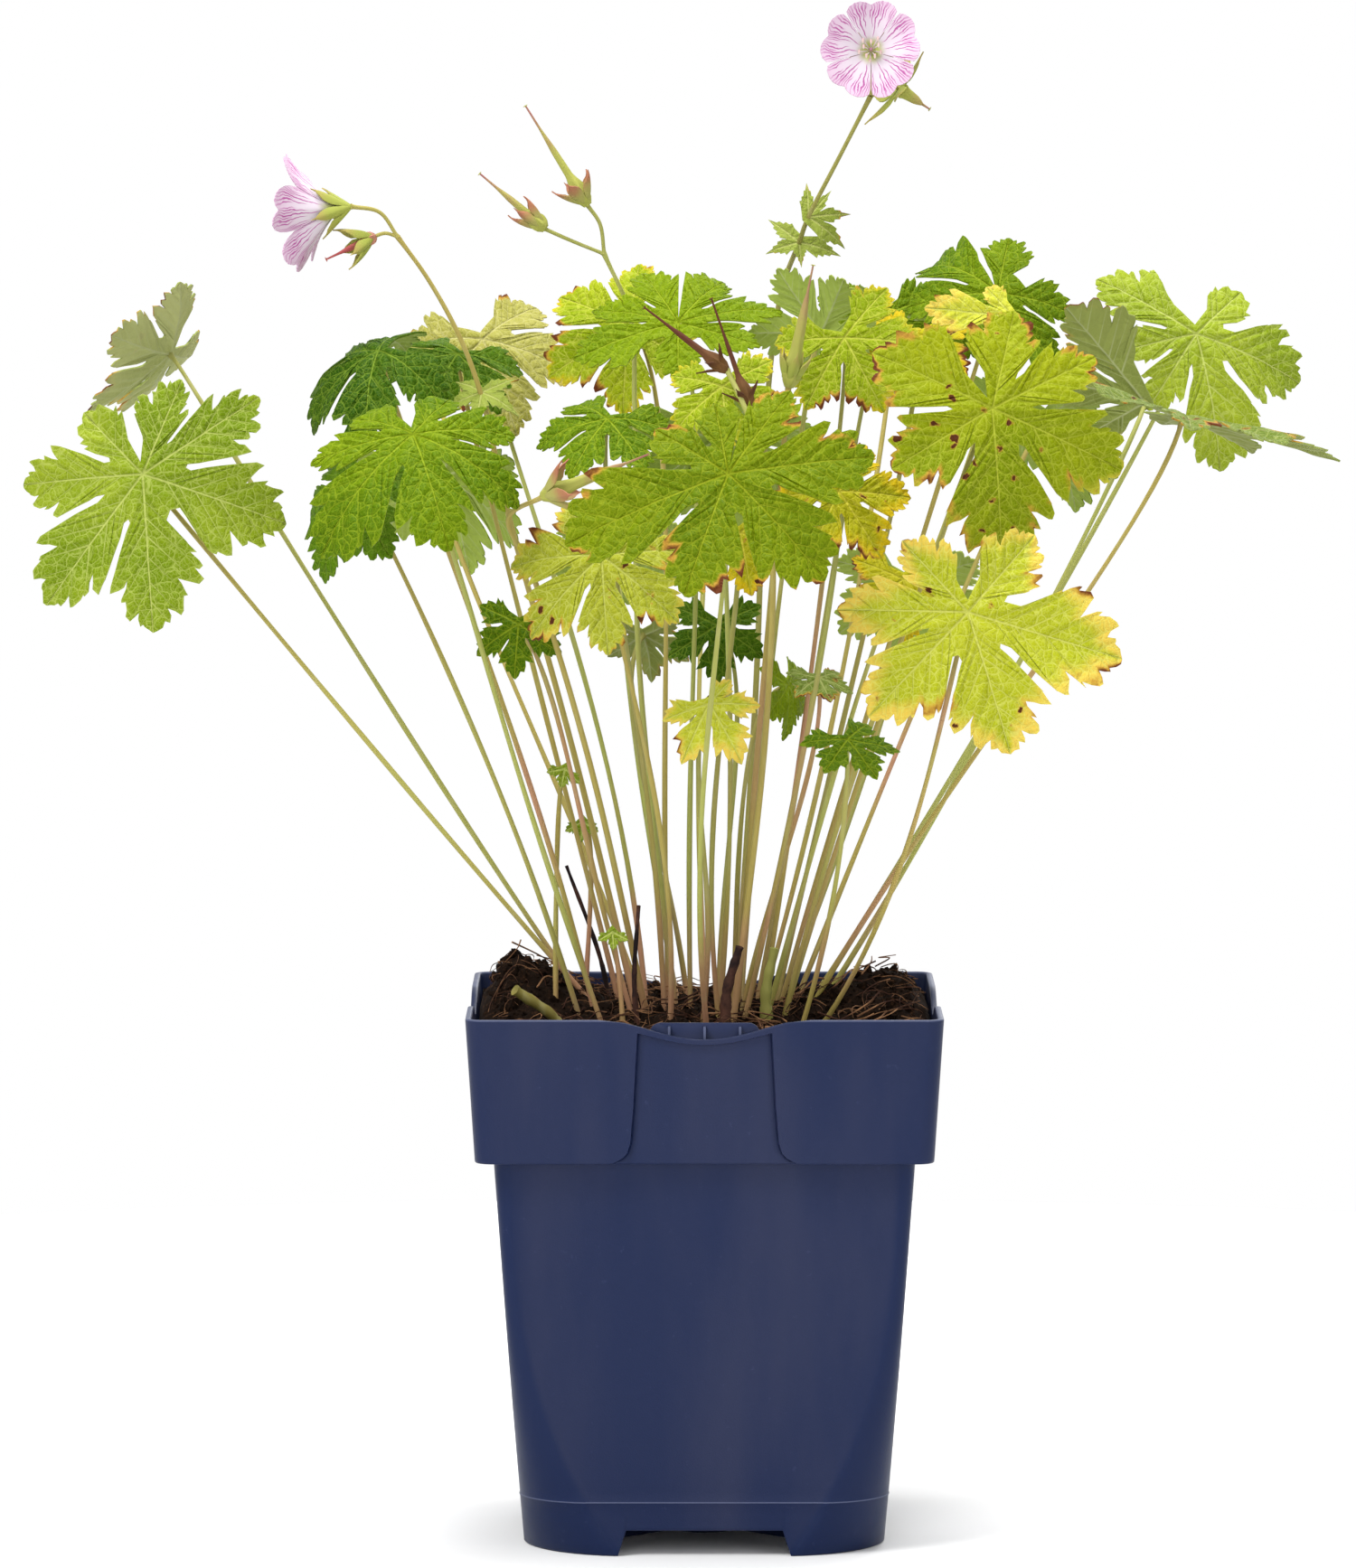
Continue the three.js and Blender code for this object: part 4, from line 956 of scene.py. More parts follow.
@dataclass(frozen=True)
class Blade:
    """A thin blade of toothed lobes that leaves its centre as a cone and bends towards its edge.

    A lobe is its angle from the middle lobe in degrees and its share of the radius. half_width and
    cut are shares of a lobe's length and of the radius. fold is the rise from a midrib to the edge,
    wave the ripple of the whole blade, quilt the rise between side veins, cone and droop the bend at
    the centre and the bend added up to the edge, in radians. A ring has no notch for a stalk, and a
    fan has even lobes with spreading veins. stride is the length of an edge's step, and rows are
    where the lines of points lie from midrib to edge. A lobe shorter than stubby has fewer teeth.
    """

    centre: Point
    face: Pair
    radius: float
    lobes: tuple[Pair, ...]
    edge: Edge
    roll: float = 0.0
    half_width: float = 0.31
    cut: float = 0.3
    fold: float = 0.2
    wave: float = 0.07
    cone: float = 0.0
    droop: float = 1e-4
    seed: int = 0
    ring: bool = False
    fan: bool = False
    thickness: float = 0.36
    quilt: float = 0.42
    stride: float = 0.95
    most_steps: int = 48
    notch: Pair = (0.08, 1.6)
    stubby: float = 0.64
    rows: tuple[float, ...] = (0, 0.05, 0.15, 0.32, 0.54, 0.76, 0.92, 1)

    def surface(
        self, u: np.ndarray, v: np.ndarray, turn: float, bulge: np.ndarray, lift: float
    ) -> np.ndarray:
        """Places on the bent blade.

        Args:
            u: distances along a lobe.
            v: distances across it, of the sign of their side.
            turn: the lobe's angle.
            bulge: how far each place is raised between the side veins.
            lift: distance from the blade's middle surface.

        Returns:
            The places, in millimetres.
        """
        normal, tip, side = direction_frame(self.face, self.roll)
        distance = np.hypot(u, v)
        angle = turn + np.arctan2(v, u)
        share = distance / self.radius
        bend = self.cone + self.droop * share
        out = np.cos(angle)[..., None] * tip + np.sin(angle)[..., None] * side
        curl = self.radius / self.droop
        reach = curl * (np.sin(bend) - math.sin(self.cone))
        fall = curl * (math.cos(self.cone) - np.cos(bend))
        lean = np.sin(bend) * np.minimum(1.0, distance)
        upper = np.cos(bend)[..., None] * normal + lean[..., None] * out
        ripple = np.sin(2 * angle + 2.4 * self.seed) + 0.8 * np.sin(3 * angle + 1.7 * self.seed)
        ripple = ripple + 0.25 * np.sin(7 * angle + 1.3 * self.seed)
        rise = self.fold * (np.sqrt(v * v + 0.16) - 0.4) + self.wave * self.radius * share**2 * ripple
        flat = self.flat(u, v, turn) * 100
        x, y = flat[..., 0], flat[..., 1]
        swell = np.sin(0.55 * x + 0.3 * y) * np.sin(0.47 * y - 0.2 * x)
        rise = rise + bulge + 0.2 * swell * np.minimum(1.0, share * 2) * (self.quilt > 0) + lift
        along = reach[..., None] * out - fall[..., None] * normal
        return np.array(self.centre) + along + rise[..., None] * upper

    def flat(self, u: np.ndarray, v: np.ndarray, turn: float) -> np.ndarray:
        """The flattened blade's map, a tenth of a metre to the unit, shifted by the seed.

        Args:
            u: distances along a lobe.
            v: distances across it.
            turn: the lobe's angle.

        Returns:
            The map, two values for each place.
        """
        x = u * math.cos(turn) - v * math.sin(turn)
        y = u * math.sin(turn) + v * math.cos(turn)
        return np.stack([x, y], axis=-1) / 100 + 0.73 * self.seed

    def cut_after(self, index: int, lobes: list[Lobe]) -> Cut:
        """The cut between a lobe and the next one, or the notch at the stalk.

        Args:
            index: the lobe's place in the list.
            lobes: all the blade's lobes.

        Returns:
            The cut.
        """
        here, after = lobes[index], lobes[(index + 1) % len(lobes)]
        closes = after.angle < here.angle
        half = (after.angle - here.angle + (FULL_TURN if closes else 0)) / 2
        notched = closes and not self.ring
        share, least = self.notch
        depth = self.cut * math.sqrt(min(here.share, after.share)) * self.radius
        return Cut(max(share * self.radius, least) if notched else depth, half, notched)

    def half_edge(self, lobe: Lobe, cut: Cut, chance: random.Random, columns: int) -> np.ndarray:
        """The edge of half a lobe.

        Args:
            lobe: the lobe.
            cut: the cut that the edge starts from.
            chance: what its teeth's unevenness is drawn from.
            columns: how many steps the edge is given.

        Returns:
            Along, across and side vein number at each of columns + 1 places.
        """
        length = lobe.share * self.radius
        slope = math.tan(min(cut.half, 1.2))
        half = min(self.half_width, (0.8 if cut.is_notch or self.fan else 0.6) * slope) * length
        profile = self.edge.value
        if self.edge in (Edge.BROAD, Edge.MIDDLING) and lobe.share < self.stubby:
            profile = Edge.STUBBY.value
        start = (cut.distance * math.cos(cut.half), cut.distance * math.sin(cut.half), 0.4)
        knots = [start]
        uneven = 0.0 if self.fan else 1.0
        for along, across, vein in profile[:-1]:
            u = (along + uneven * chance.uniform(-0.012, 0.012)) * length
            v = across * half * (1 + uneven * chance.uniform(-0.08, 0.05))
            v = min(v, (0.97 if self.fan else 0.9) * u * slope) if cut.half < 1.5 else v
            if u > start[0] + 0.03 * length:
                knots.append((u, v, vein))
        knots.append((profile[-1][0] * length, 0.0, profile[-1][2]))
        knots = np.array(knots, float)
        steps = np.hypot(*np.diff(knots[:, :2], axis=0).T)
        marks = np.concatenate([[0], np.cumsum(steps)]) / steps.sum() * columns
        marks = np.round(marks)
        for i in range(1, len(marks)):
            marks[i] = max(marks[i], marks[i - 1] + 1)
        for i in range(len(marks) - 1, -1, -1):
            marks[i] = min(marks[i], columns - (len(marks) - 1 - i))
        at = np.arange(columns + 1)
        veined = knots[:, 2] > 0
        vein = np.interp(at, marks[veined], knots[veined, 2])
        along, across = (np.interp(at, marks, knots[:, axis]) for axis in (0, 1))
        return np.stack([along, across, vein], axis=1)

    def lobe_halves(
        self, index: int, lobes: list[Lobe], chance: random.Random
    ) -> list[tuple[float, np.ndarray]]:
        """The two edges of a lobe, each with the sign of its side.

        Args:
            index: the lobe's place in the list.
            lobes: all the blade's lobes.
            chance: what the teeth's unevenness is drawn from.

        Returns:
            Each side's sign and edge.
        """
        length = lobes[index].share * self.radius
        points = len(self.edge.value) + 1
        columns = min(self.most_steps, max(points + 4, round(1.25 * length / self.stride)))
        cuts = (self.cut_after(index - 1, lobes), self.cut_after(index, lobes))
        return [
            (side, self.half_edge(lobes[index], cut, chance, columns)) for side, cut in zip((-1, 1), cuts)
        ]

    def grow(self, work: Patchwork, slot: int, mark: float) -> None:
        """Adds the blade to a patchwork.

        Args:
            work: what it is added to.
            slot: the finish of its faces.
            mark: a number of its own from 0 to 1, kept in the tint.
        """
        chance = random.Random(self.seed * 7 + 3)
        lobes = [Lobe(math.radians(angle), share) for angle, share in self.lobes]
        for index, lobe in enumerate(lobes):
            halves = self.lobe_halves(index, lobes, chance)
            length = lobe.share * self.radius
            rib = np.zeros(len(halves[0][1]))
            if not self.fan:
                mean = (halves[0][1] + halves[1][1]) / 2
                rib = np.maximum.accumulate(mean[:, 0] - 1.05 * mean[:, 1])
                rib = (rib - rib[0]) / (rib[-1] - rib[0]) * 0.93 + 0.07 * np.linspace(0, 1, len(rib))
                rib = rib * length
            for side, edge in halves:
                self.grow_half(work, slot, mark, lobe, side, edge, rib)

    def grow_half(
        self,
        work: Patchwork,
        slot: int,
        mark: float,
        lobe: Lobe,
        side: float,
        edge: np.ndarray,
        rib: np.ndarray,
    ) -> None:
        """Adds half a lobe: its upper side, its lower side and its edge.

        Args:
            work: what it is added to.
            slot: the finish of its faces.
            mark: the blade's own number.
            lobe: the lobe.
            side: -1 or 1, for the side of the midrib.
            edge: along, across and vein number of the edge's places.
            rib: where each of those places' lines start along the midrib.
        """
        share = np.array(self.rows)[:, None]
        u = rib[None] * (1 - share) + edge[None, :, 0] * share
        v = side * edge[None, :, 1] * share
        vein = np.broadcast_to(edge[None, :, 2], u.shape)
        across = np.broadcast_to(share, u.shape)
        if self.fan:
            vein = np.broadcast_to(4 + 4 * side * (1 - np.linspace(0, 1, len(rib)))[None], u.shape)
        swell = (0.5 - 0.5 * np.cos(FULL_TURN * vein)) * np.sin(math.pi * across**0.8) ** 0.8
        bulge = self.quilt * min(1.0, self.radius / 26) * swell
        along = np.hypot(u, v) / (lobe.share * self.radius)
        maps = {"vein": np.stack([vein / 8, across], axis=-1), "flat": self.flat(u, v, lobe.angle)}
        tint = np.stack([np.abs(v) / 5, along, np.zeros_like(u), np.full_like(u, mark)], axis=-1)
        ridge = 0.3 * np.exp(-((v / 0.45) ** 2)) * (1 - along) * (self.quilt > 0)
        top = self.surface(u, v, lobe.angle, bulge, self.thickness / 2)
        low = self.surface(u, v, lobe.angle, bulge - ridge, -self.thickness / 2)
        below = tint.copy()
        below[..., 2] = 1
        work.grid(top, slot, side < 0, tint=tint, **maps)
        work.grid(low, slot, side > 0, tint=below, **maps)
        rim = {key: np.stack([value[-1], value[-1]]) for key, value in maps.items()}
        rim["tint"] = np.stack([tint[-1], tint[-1]])
        work.grid(np.stack([top[-1], low[-1]]), slot, side < 0, **rim)


# ------------------------------------------------------------------------------------ leaves


@dataclass(frozen=True)
class Growth:
    """A part of the plant, built as one piece that stands for the part's node of the same name."""

    name: str

    def grow(self, work: Patchwork) -> tuple[str, tuple[str, ...]]:
        """Adds the growth to a patchwork.

        Args:
            work: what it is added to.

        Returns:
            The record's slot that it belongs to, and the names of its finishes.
        """
        raise NotImplementedError

    def make(self, skins: Skins) -> bpy.types.Object:
        """Builds the piece.

        Args:
            skins: the finished materials by name.

        Returns:
            The placed piece.
        """
        work = Patchwork()
        slot, finishes = self.grow(work)
        piece = work.piece(self.name + "_dressed", [skins[finish] for finish in finishes])
        return placed(piece, (self.name,))


class Tone(Enum):
    """The leaves' finishes, each with the record's slot that it belongs to."""

    GREEN = ("leaf_green", LeafSkin(
        "mid_green_leaf", paint(124, 150, 0), paint(78, 114, 0), paint(162, 182, 40), relief=0.00035))
    OLIVE = ("leaf_green", LeafSkin(
        "olive_leaf", paint(130, 148, 0), paint(90, 118, 0), paint(162, 174, 36), brown=0.5, relief=0.00035))
    SPOTTED = ("leaf_green", LeafSkin(
        "spotted_leaf", paint(162, 172, 8), paint(116, 138, 0), paint(192, 200, 66),
        brown=0.9, spots=0.22, yellow=0.25))
    LIGHT = ("leaf_light", LeafSkin(
        "light_green_leaf", paint(166, 184, 40), paint(116, 144, 12), paint(212, 222, 122), net=0.55))
    PATCHED = ("leaf_light", LeafSkin(
        "patched_light_leaf", paint(178, 184, 44), paint(138, 150, 16), paint(214, 218, 110),
        brown=0.7, spots=0.2, yellow=0.4, yellow_tone=paint(228, 196, 70)))
    DARK = ("leaf_dark", LeafSkin(
        "dark_green_leaf", paint(86, 124, 2), paint(44, 82, 0), paint(134, 162, 50), relief=0.00035))
    PALE = ("leaf_underside", LeafSkin(
        "grey_green_leaf", paint(142, 158, 62), paint(108, 130, 40), paint(188, 196, 118),
        under=paint(152, 162, 86), brown=0.7, spots=0.25))
    # a copy of grey_green_leaf whose paler underside is lightened further as painted light, for an underside
    # that faces down into shade
    LIT_UNDERSIDE = ("leaf_underside", LeafSkin(
        "lit_underside_leaf", paint(142, 158, 62), paint(108, 130, 40), paint(188, 196, 118),
        under=paint(198, 202, 134), brown=0.9, spots=0.2))
    YELLOW = ("leaf_yellow", LeafSkin(
        "yellowing_leaf", paint(200, 192, 24), paint(166, 166, 8), paint(216, 206, 70),
        yellow=0.6, yellow_tone=paint(222, 188, 14), brown=0.9, spots=0.3))
    LIME = ("leaf_yellow", LeafSkin(
        "lime_leaf", paint(180, 194, 24), paint(140, 164, 4), paint(214, 218, 88),
        yellow=0.4, yellow_tone=paint(230, 200, 30), brown=0.4))
    GOLD = ("leaf_yellow", LeafSkin(
        "gold_tipped_leaf", paint(210, 212, 56), paint(184, 192, 32), paint(228, 230, 116),
        yellow=0.6, yellow_tone=paint(242, 208, 84), brown=0.6, spots=0.12))
    CREAM = ("leaf_yellow", LeafSkin(
        "faded_leaf", paint(190, 186, 94), paint(162, 160, 62), paint(216, 210, 140),
        under=paint(194, 188, 112), yellow=0.35, yellow_tone=paint(218, 192, 78), brown=0.3))


# Each lobe's angle from the middle one in degrees, and its share of the radius.
LARGE = ((-146, 0.55), (-106, 0.88), (-54, 0.97), (0, 1), (54, 0.97), (106, 0.88), (146, 0.55))
SMALL = ((-118, 0.84), (-57, 0.95), (0, 1), (57, 0.95), (118, 0.84))
OPENING = ((-60, 0.6), (0, 0.63), (60, 0.6))
WHORL = ((0, 1), (72, 1), (144, 1), (216, 1), (288, 1))


@dataclass(frozen=True)
class Leaf(Growth):
    """A leaf: a lobed blade on a long stalk that comes out of the soil.

    The blade's centre is where the stalk meets it. face, roll and droop are its attitude and bend. The
    stalk leaves the soil at root, arches up by bow and meets the blade at a right angle over the
    length bend. sway and swerve are the most that it leans to its sides, once and to and fro, and a
    young leaf has young_share of that. flare is how much thicker the stalk is at the blade, and over
    what share of its length, and waver how much its radius varies, and how fast. Blades with a radius
    from large_from or middling_from have more teeth.
    """

    centre: Point
    face: Pair
    roll: float
    radius: float
    root: Pair
    droop: float
    bow: float
    seed: int
    tone: Tone
    half_width: float = 0.31
    lobes: tuple[Pair, ...] | None = None
    stalk_foot: float = 0.63
    stalk_top: float = 0.5
    bend: float = 12.0
    sway: float = 4.0
    swerve: float = 1.9
    young_share: float = 0.3
    flare: Pair = (0.35, 0.012)
    waver: Pair = (0.05, 17)
    large_from: float = 27.0
    middling_from: float = 15.0

    @property
    def mark(self) -> float:
        """A number of the leaf's own from 0 to 1."""
        return (self.seed * 0.618) % 1

    def stalk_line(self, steps: int = 30) -> tuple[np.ndarray, np.ndarray]:
        """The stalk's middle line from the soil to inside the blade, and its radii.

        Args:
            steps: how many places it has.

        Returns:
            The places, n by 3, and the radius at each.
        """
        normal = direction_frame(self.face, 0)[0]
        foot = np.array([*self.root, ROOT_HEIGHT])
        top = np.array(self.centre) - 0.35 * normal
        chord = unit(top - foot)
        side = unit(np.cross(chord, [0, 0, 1]))
        lift = np.cross(side, chord)
        low = foot + (top - foot) / 3 + lift * self.bow
        high = top - normal * self.bend
        share = np.linspace(0, 1, steps)[:, None]
        line = (
            (1 - share) ** 3 * foot
            + 3 * (1 - share) ** 2 * share * low
            + 3 * (1 - share) * share**2 * high
            + share**3 * top
        )
        sway = self.sway * np.sin(math.pi * share) * math.sin(2.3 * self.seed)
        sway = sway + self.swerve * np.sin(FULL_TURN * share) * math.cos(3.1 * self.seed)
        line = line + side * sway * (self.young_share if self.lobes is OPENING else 1.0)
        line[-1] += 0.3 * normal
        flare = self.flare[0] * np.exp(-((1 - share[:, 0]) / self.flare[1]))
        waver = self.waver[0] * np.sin(self.waver[1] * share[:, 0] + self.seed)
        radii = self.stalk_foot + (self.stalk_top - self.stalk_foot) * share[:, 0] + flare + waver
        return line, radii

    def blade(self) -> Blade:
        """The leaf's blade.

        Returns:
            The blade.
        """
        large = self.radius >= self.large_from
        middling = self.radius >= self.middling_from
        return Blade(
            self.centre, self.face, self.radius, self.lobes or (LARGE if large else SMALL),
            Edge.BROAD if large else Edge.MIDDLING if middling else Edge.NARROW,
            roll=self.roll, half_width=self.half_width, droop=self.droop, seed=self.seed,
        )

    def grow(self, work: Patchwork) -> tuple[str, tuple[str, ...]]:
        """Adds the blade and the stalk.

        Args:
            work: what it is added to.

        Returns:
            Its slot in the record, and the names of its finishes.
        """
        self.blade().grow(work, 0, self.mark)
        add_rod(work, *self.stalk_line(), 10, slot=1, tint=(self.mark, 0, 0, 1))
        slot, skin = self.tone.value
        return slot, (skin.name, "green_stem_skin")


LEAVES = (
    Leaf("leaf_left_front", (-128, -15, 245), (-10, 12), 0, 36, (-19, 1), 0.25, -2, 1, Tone.LIGHT,
         lobes=((-134, 0.58), (-86, 0.82), (-36, 1.03), (6, 1), (73, 0.97), (125, 0.88), (160, 0.65))),
    Leaf("leaf_left_back", (-124, 25, 271), (-118, 35), 40, 24, (-22, 6), -0.4, -4, 2, Tone.LIT_UNDERSIDE),
    Leaf("leaf_left_drooping", (-74, -18, 273), (-30, 60), -45, 26, (-24, -6), 1.2, 6, 3, Tone.DARK),
    Leaf("leaf_left_middle", (-65, -62, 256), (-5, 50), 0, 31, (-22, -15), 0.85, 4, 4, Tone.GREEN,
         half_width=0.36,
         lobes=((-125, 0.62), (-83, 0.78), (-40, 1.15), (20, 0.97), (68, 0.97), (108, 0.78), (156, 0.55))),
    Leaf("leaf_left_shaded", (-79, -36, 243), (-45, 35), -10, 23, (-27, -10), 0.7, 2, 5, Tone.DARK),
    Leaf("leaf_left_pale", (-52, 60, 273), (0, 38), 20, 25, (-13, 12), 0.75, 6, 6, Tone.CREAM),
    Leaf("leaf_left_upper", (-57, 18, 271), (10, 60), -30, 20, (-18, 4), 0.8, 4, 7, Tone.DARK),
    Leaf("leaf_left_low", (-42, -35, 212), (-10, 30), 0, 13, (-15, -9), 0.4, 2, 8, Tone.GREEN),
    Leaf("leaf_middle_yellow", (-17, 34, 277), (-12, 28), -60, 23, (-8, 7), 0.5, 3, 9, Tone.LIME),
    Leaf("leaf_middle_top", (-6, -4, 279), (0, 48), 0, 23, (-3, 1), 0.4, 0, 10, Tone.GREEN,
         lobes=((-158, 1), (-112, 0.95), (-72, 1.1), (0, 0.7), (72, 0.85), (114, 1.2), (152, 1.05))),
    Leaf("leaf_middle_small", (-22, -28, 258), (-10, 58), -20, 19, (-9, -5), 0.6, 1, 11, Tone.GREEN),
    Leaf("leaf_front_middle", (5, -95, 249), (-2, 30), 0, 34, (1, -21), 0.35, -4, 12, Tone.OLIVE,
         half_width=0.38,
         lobes=((-170, 0.58), (-126, 0.6), (-68, 1.15), (-18, 0.88), (44, 0.95), (100, 0.95), (148, 0.75))),
    Leaf("leaf_front_low", (-23, -61, 229), (-5, 30), 0, 23, (-8, -17), 0.6, 0, 13, Tone.PATCHED,
         lobes=((-148, 0.75), (-92, 1), (-44, 1.1), (5, 1), (52, 1), (100, 0.85))),
    Leaf("leaf_under_yellow", (8, -40, 233), (0, 30), 10, 15, (4, -12), 0.4, 0, 14, Tone.YELLOW),
    Leaf("leaf_low_front", (1, -50, 195), (5, 30), 0, 14, (-1, -15), 0.4, 0, 15, Tone.GOLD,
         lobes=((-72, 0.8), (-27, 1.1), (28, 1.12), (92, 0.85), (140, 0.6))),
    Leaf("leaf_low_pale", (26, -25, 199), (20, 60), 0, 9, (7, -8), 0.3, 0, 16, Tone.PALE),
    Leaf("leaf_low_dark", (3, 7, 209), (0, 20), 0, 14, (3, 2), 0.4, 0, 17, Tone.DARK),
    Leaf("leaf_low_grey", (-14, 35, 205), (160, 40), 0, 13, (-3, 10), 0.3, 0, 18, Tone.PALE),
    Leaf("leaf_low_narrow", (19, -6, 196), (65, 10), 0, 13, (6, -1), 0.4, 0, 39, Tone.GREEN),
    Leaf("leaf_middle_spotted", (4, -40, 266), (-10, 35), 10, 16, (3, -8), 0.4, 0, 19, Tone.LIME),
    Leaf("leaf_right_spotted", (64, -62, 262), (8, 15), 0, 33, (17, -12), 0.3, 0, 20, Tone.SPOTTED,
         half_width=0.36,
         lobes=((-118, 0.9), (-60, 0.8), (3, 1.05), (66, 1), (116, 0.8), (164, 0.75))),
    Leaf("leaf_right_low", (58, -85, 218), (5, 8), 0, 33, (24, -15), 0.2, -9, 21, Tone.GOLD,
         lobes=((-138, 0.65), (-92, 0.88), (-44, 0.97), (17, 1), (73, 1.08), (138, 0.72))),
    Leaf("leaf_right_top", (68, 22, 285), (0, 35), 0, 23, (16, 6), 0.7, 4, 22, Tone.GREEN,
         lobes=((-136, 1.3), (-92, 1), (-30, 0.8), (40, 1), (84, 0.85), (170, 0.8))),
    Leaf("leaf_right_outer", (115, 40, 275), (12, 24), 0, 29, (20, 10), 0.6, -6, 23, Tone.LIGHT,
         lobes=((-127, 0.92), (-80, 0.62), (-36, 0.75), (10, 1.15), (70, 1), (132, 0.6))),
    Leaf("leaf_right_edge", (109, -15, 258), (116, 75), -26, 37, (21, -1), 0.2, 4, 24, Tone.PALE,
         bend=24,
         lobes=((-128, 0.9), (-88, 0.8), (-46, 0.9), (0, 1), (48, 0.75), (100, 0.5))),
    Leaf("leaf_right_folded", (102, 17, 260), (170, 20), 0, 27, (22.5, 5), 0.3, -6, 25, Tone.PALE,
         lobes=((60, 0.5), (108, 0.9), (146, 1.12))),
    Leaf("leaf_right_small", (70, -24, 281), (0, 25), 0, 20, (17, -5), 0.3, 2, 26, Tone.GOLD,
         lobes=((-142, 0.5), (-98, 1), (-50, 0.45))),
    Leaf("leaf_back_grey", (27, 15, 276), (165, 15), 150, 18, (8, 3), 0.3, 0, 27, Tone.LIGHT),
    Leaf("leaf_back_upper", (46, 85, 279), (170, 50), 0, 22, (12, 19), 0.4, 0, 28, Tone.GREEN),
    Leaf("leaf_right_inner", (32, -12, 276), (-10, 25), 30, 20, (12.5, -4), 0.3, 0, 29, Tone.LIME),
    Leaf("leaf_right_shaded", (42, 42, 279), (10, 35), 0, 20, (11, 9), 0.4, 0, 30, Tone.GREEN),
    Leaf("leaf_right_brown", (45, -32, 222), (10, 30), 0, 15, (13, -8), 0.4, 0, 31, Tone.YELLOW),
    Leaf("leaf_right_gold", (30, -52, 243), (10, 25), 30, 18, (8, -14), 0.3, 0, 32, Tone.YELLOW),
    Leaf("leaf_right_speckled", (49, 13, 275), (-20, 35), 0, 17, (15, 2), 0.4, 0, 33, Tone.YELLOW),
    Leaf("leaf_low_right", (32, -52, 187), (15, 55), 20, 13, (21, -20), 0.3, 0, 40, Tone.GREEN),
    Leaf("leaf_back_left", (-62, 82, 240), (150, 35), 0, 27, (-12, 18), 0.4, 0, 34, Tone.GREEN),
    Leaf("leaf_back_middle", (4, 102, 248), (180, 35), 0, 29, (1, 21), 0.4, 0, 35, Tone.GREEN),
    Leaf("leaf_back_low", (50, 78, 214), (165, 30), 0, 24, (15, 14), 0.4, 0, 36, Tone.LIGHT),
    Leaf("leaf_back_right", (82, 82, 254), (140, 35), 0, 26, (19, 19), 0.4, 0, 37, Tone.GREEN),
    Leaf("leaf_back_inner", (-20, 75, 224), (185, 40), 0, 20, (-5, 16), 0.4, 0, 38, Tone.LIGHT),
    Leaf("young_leaf_high", (-32, -8, 177), (20, 20), -20, 8, (-34, -7), -0.5, 1, 41, Tone.LIGHT,
         lobes=OPENING, bend=6),
    Leaf("young_leaf_middle", (-28, 14, 163), (-20, 10), 0, 8, (-28, 12.5), -0.5, 0, 42, Tone.LIGHT,
         lobes=OPENING, bend=6),
    Leaf("young_leaf_low", (-21, -24, 141), (10, 15), 0, 7, (-18.5, -19.5), -0.5, 0, 43, Tone.LIGHT,
         lobes=OPENING, bend=6),
)


# ------------------------------------------------------------------------------------ flowering stems


@dataclass(frozen=True)
class Stem:
    """A length of stem through its points, from its lower end, with the radii of its ends."""

    points: tuple[Point, ...]
    radii: Pair
    swell: float = 0.22
    swell_share: float = 0.03

    def grow(self, work: Patchwork, slot: int) -> None:
        """Adds the stem to a patchwork, a little swollen at its ends.

        Args:
            work: what it is added to.
            slot: the finish of its faces.
        """
        line = through(self.points, 9)
        share = np.linspace(0, 1, len(line))
        ends = np.exp(-share / self.swell_share) + np.exp(-(1 - share) / self.swell_share)
        radii = self.radii[0] + (self.radii[1] - self.radii[0]) * share + self.swell * ends
        x, y, _ = self.points[0]
        add_rod(work, line, radii, 10, slot, (abs(x * 0.37 + y * 0.19) % 1, 0, 0, 1))


@dataclass(frozen=True)
class Bract:
    """Small toothed leaves round a joint of a stem."""

    centre: Point
    face: Pair
    radius: float
    lobes: tuple[Pair, ...]

    def grow(self, work: Patchwork, slot: int) -> None:
        """Adds the bract to a patchwork.

        Args:
            work: what it is added to.
            slot: the finish of its faces.
        """
        Blade(
            self.centre, self.face, self.radius, self.lobes, Edge.BRACT, half_width=0.26, droop=0.5,
            seed=1, quilt=0.15, thickness=0.3, stride=0.6,
        ).grow(work, slot, 0.4)


def facing(start: Point, end: Point) -> Pair:
    """The direction from one point to another as an azimuth and an elevation in degrees."""
    aim = unit(np.array(end, float) - np.array(start, float))
    return math.degrees(math.atan2(aim[0], -aim[1])), math.degrees(math.asin(aim[2]))


@dataclass(frozen=True)
class Calyx:
    """Five pointed sepals round the foot of a flower or a fruit."""

    centre: Point
    toward: Point
    radius: float
    cone: float
    droop: float = 0.12
    half_width: float = 0.19

    def grow(self, work: Patchwork, slot: int) -> None:
        """Adds the calyx to a patchwork.

        Args:
            work: what it is added to.
            slot: the finish of its faces.
        """
        Blade(
            self.centre, facing(self.centre, self.toward), self.radius, WHORL, Edge.SEPAL,
            half_width=self.half_width, cut=0.24, fold=0.3, wave=0, cone=self.cone, droop=self.droop,
            ring=True, thickness=0.3, quilt=0, stride=0.5, rows=(0, 0.3, 0.7, 1),
        ).grow(work, slot, 0.5)


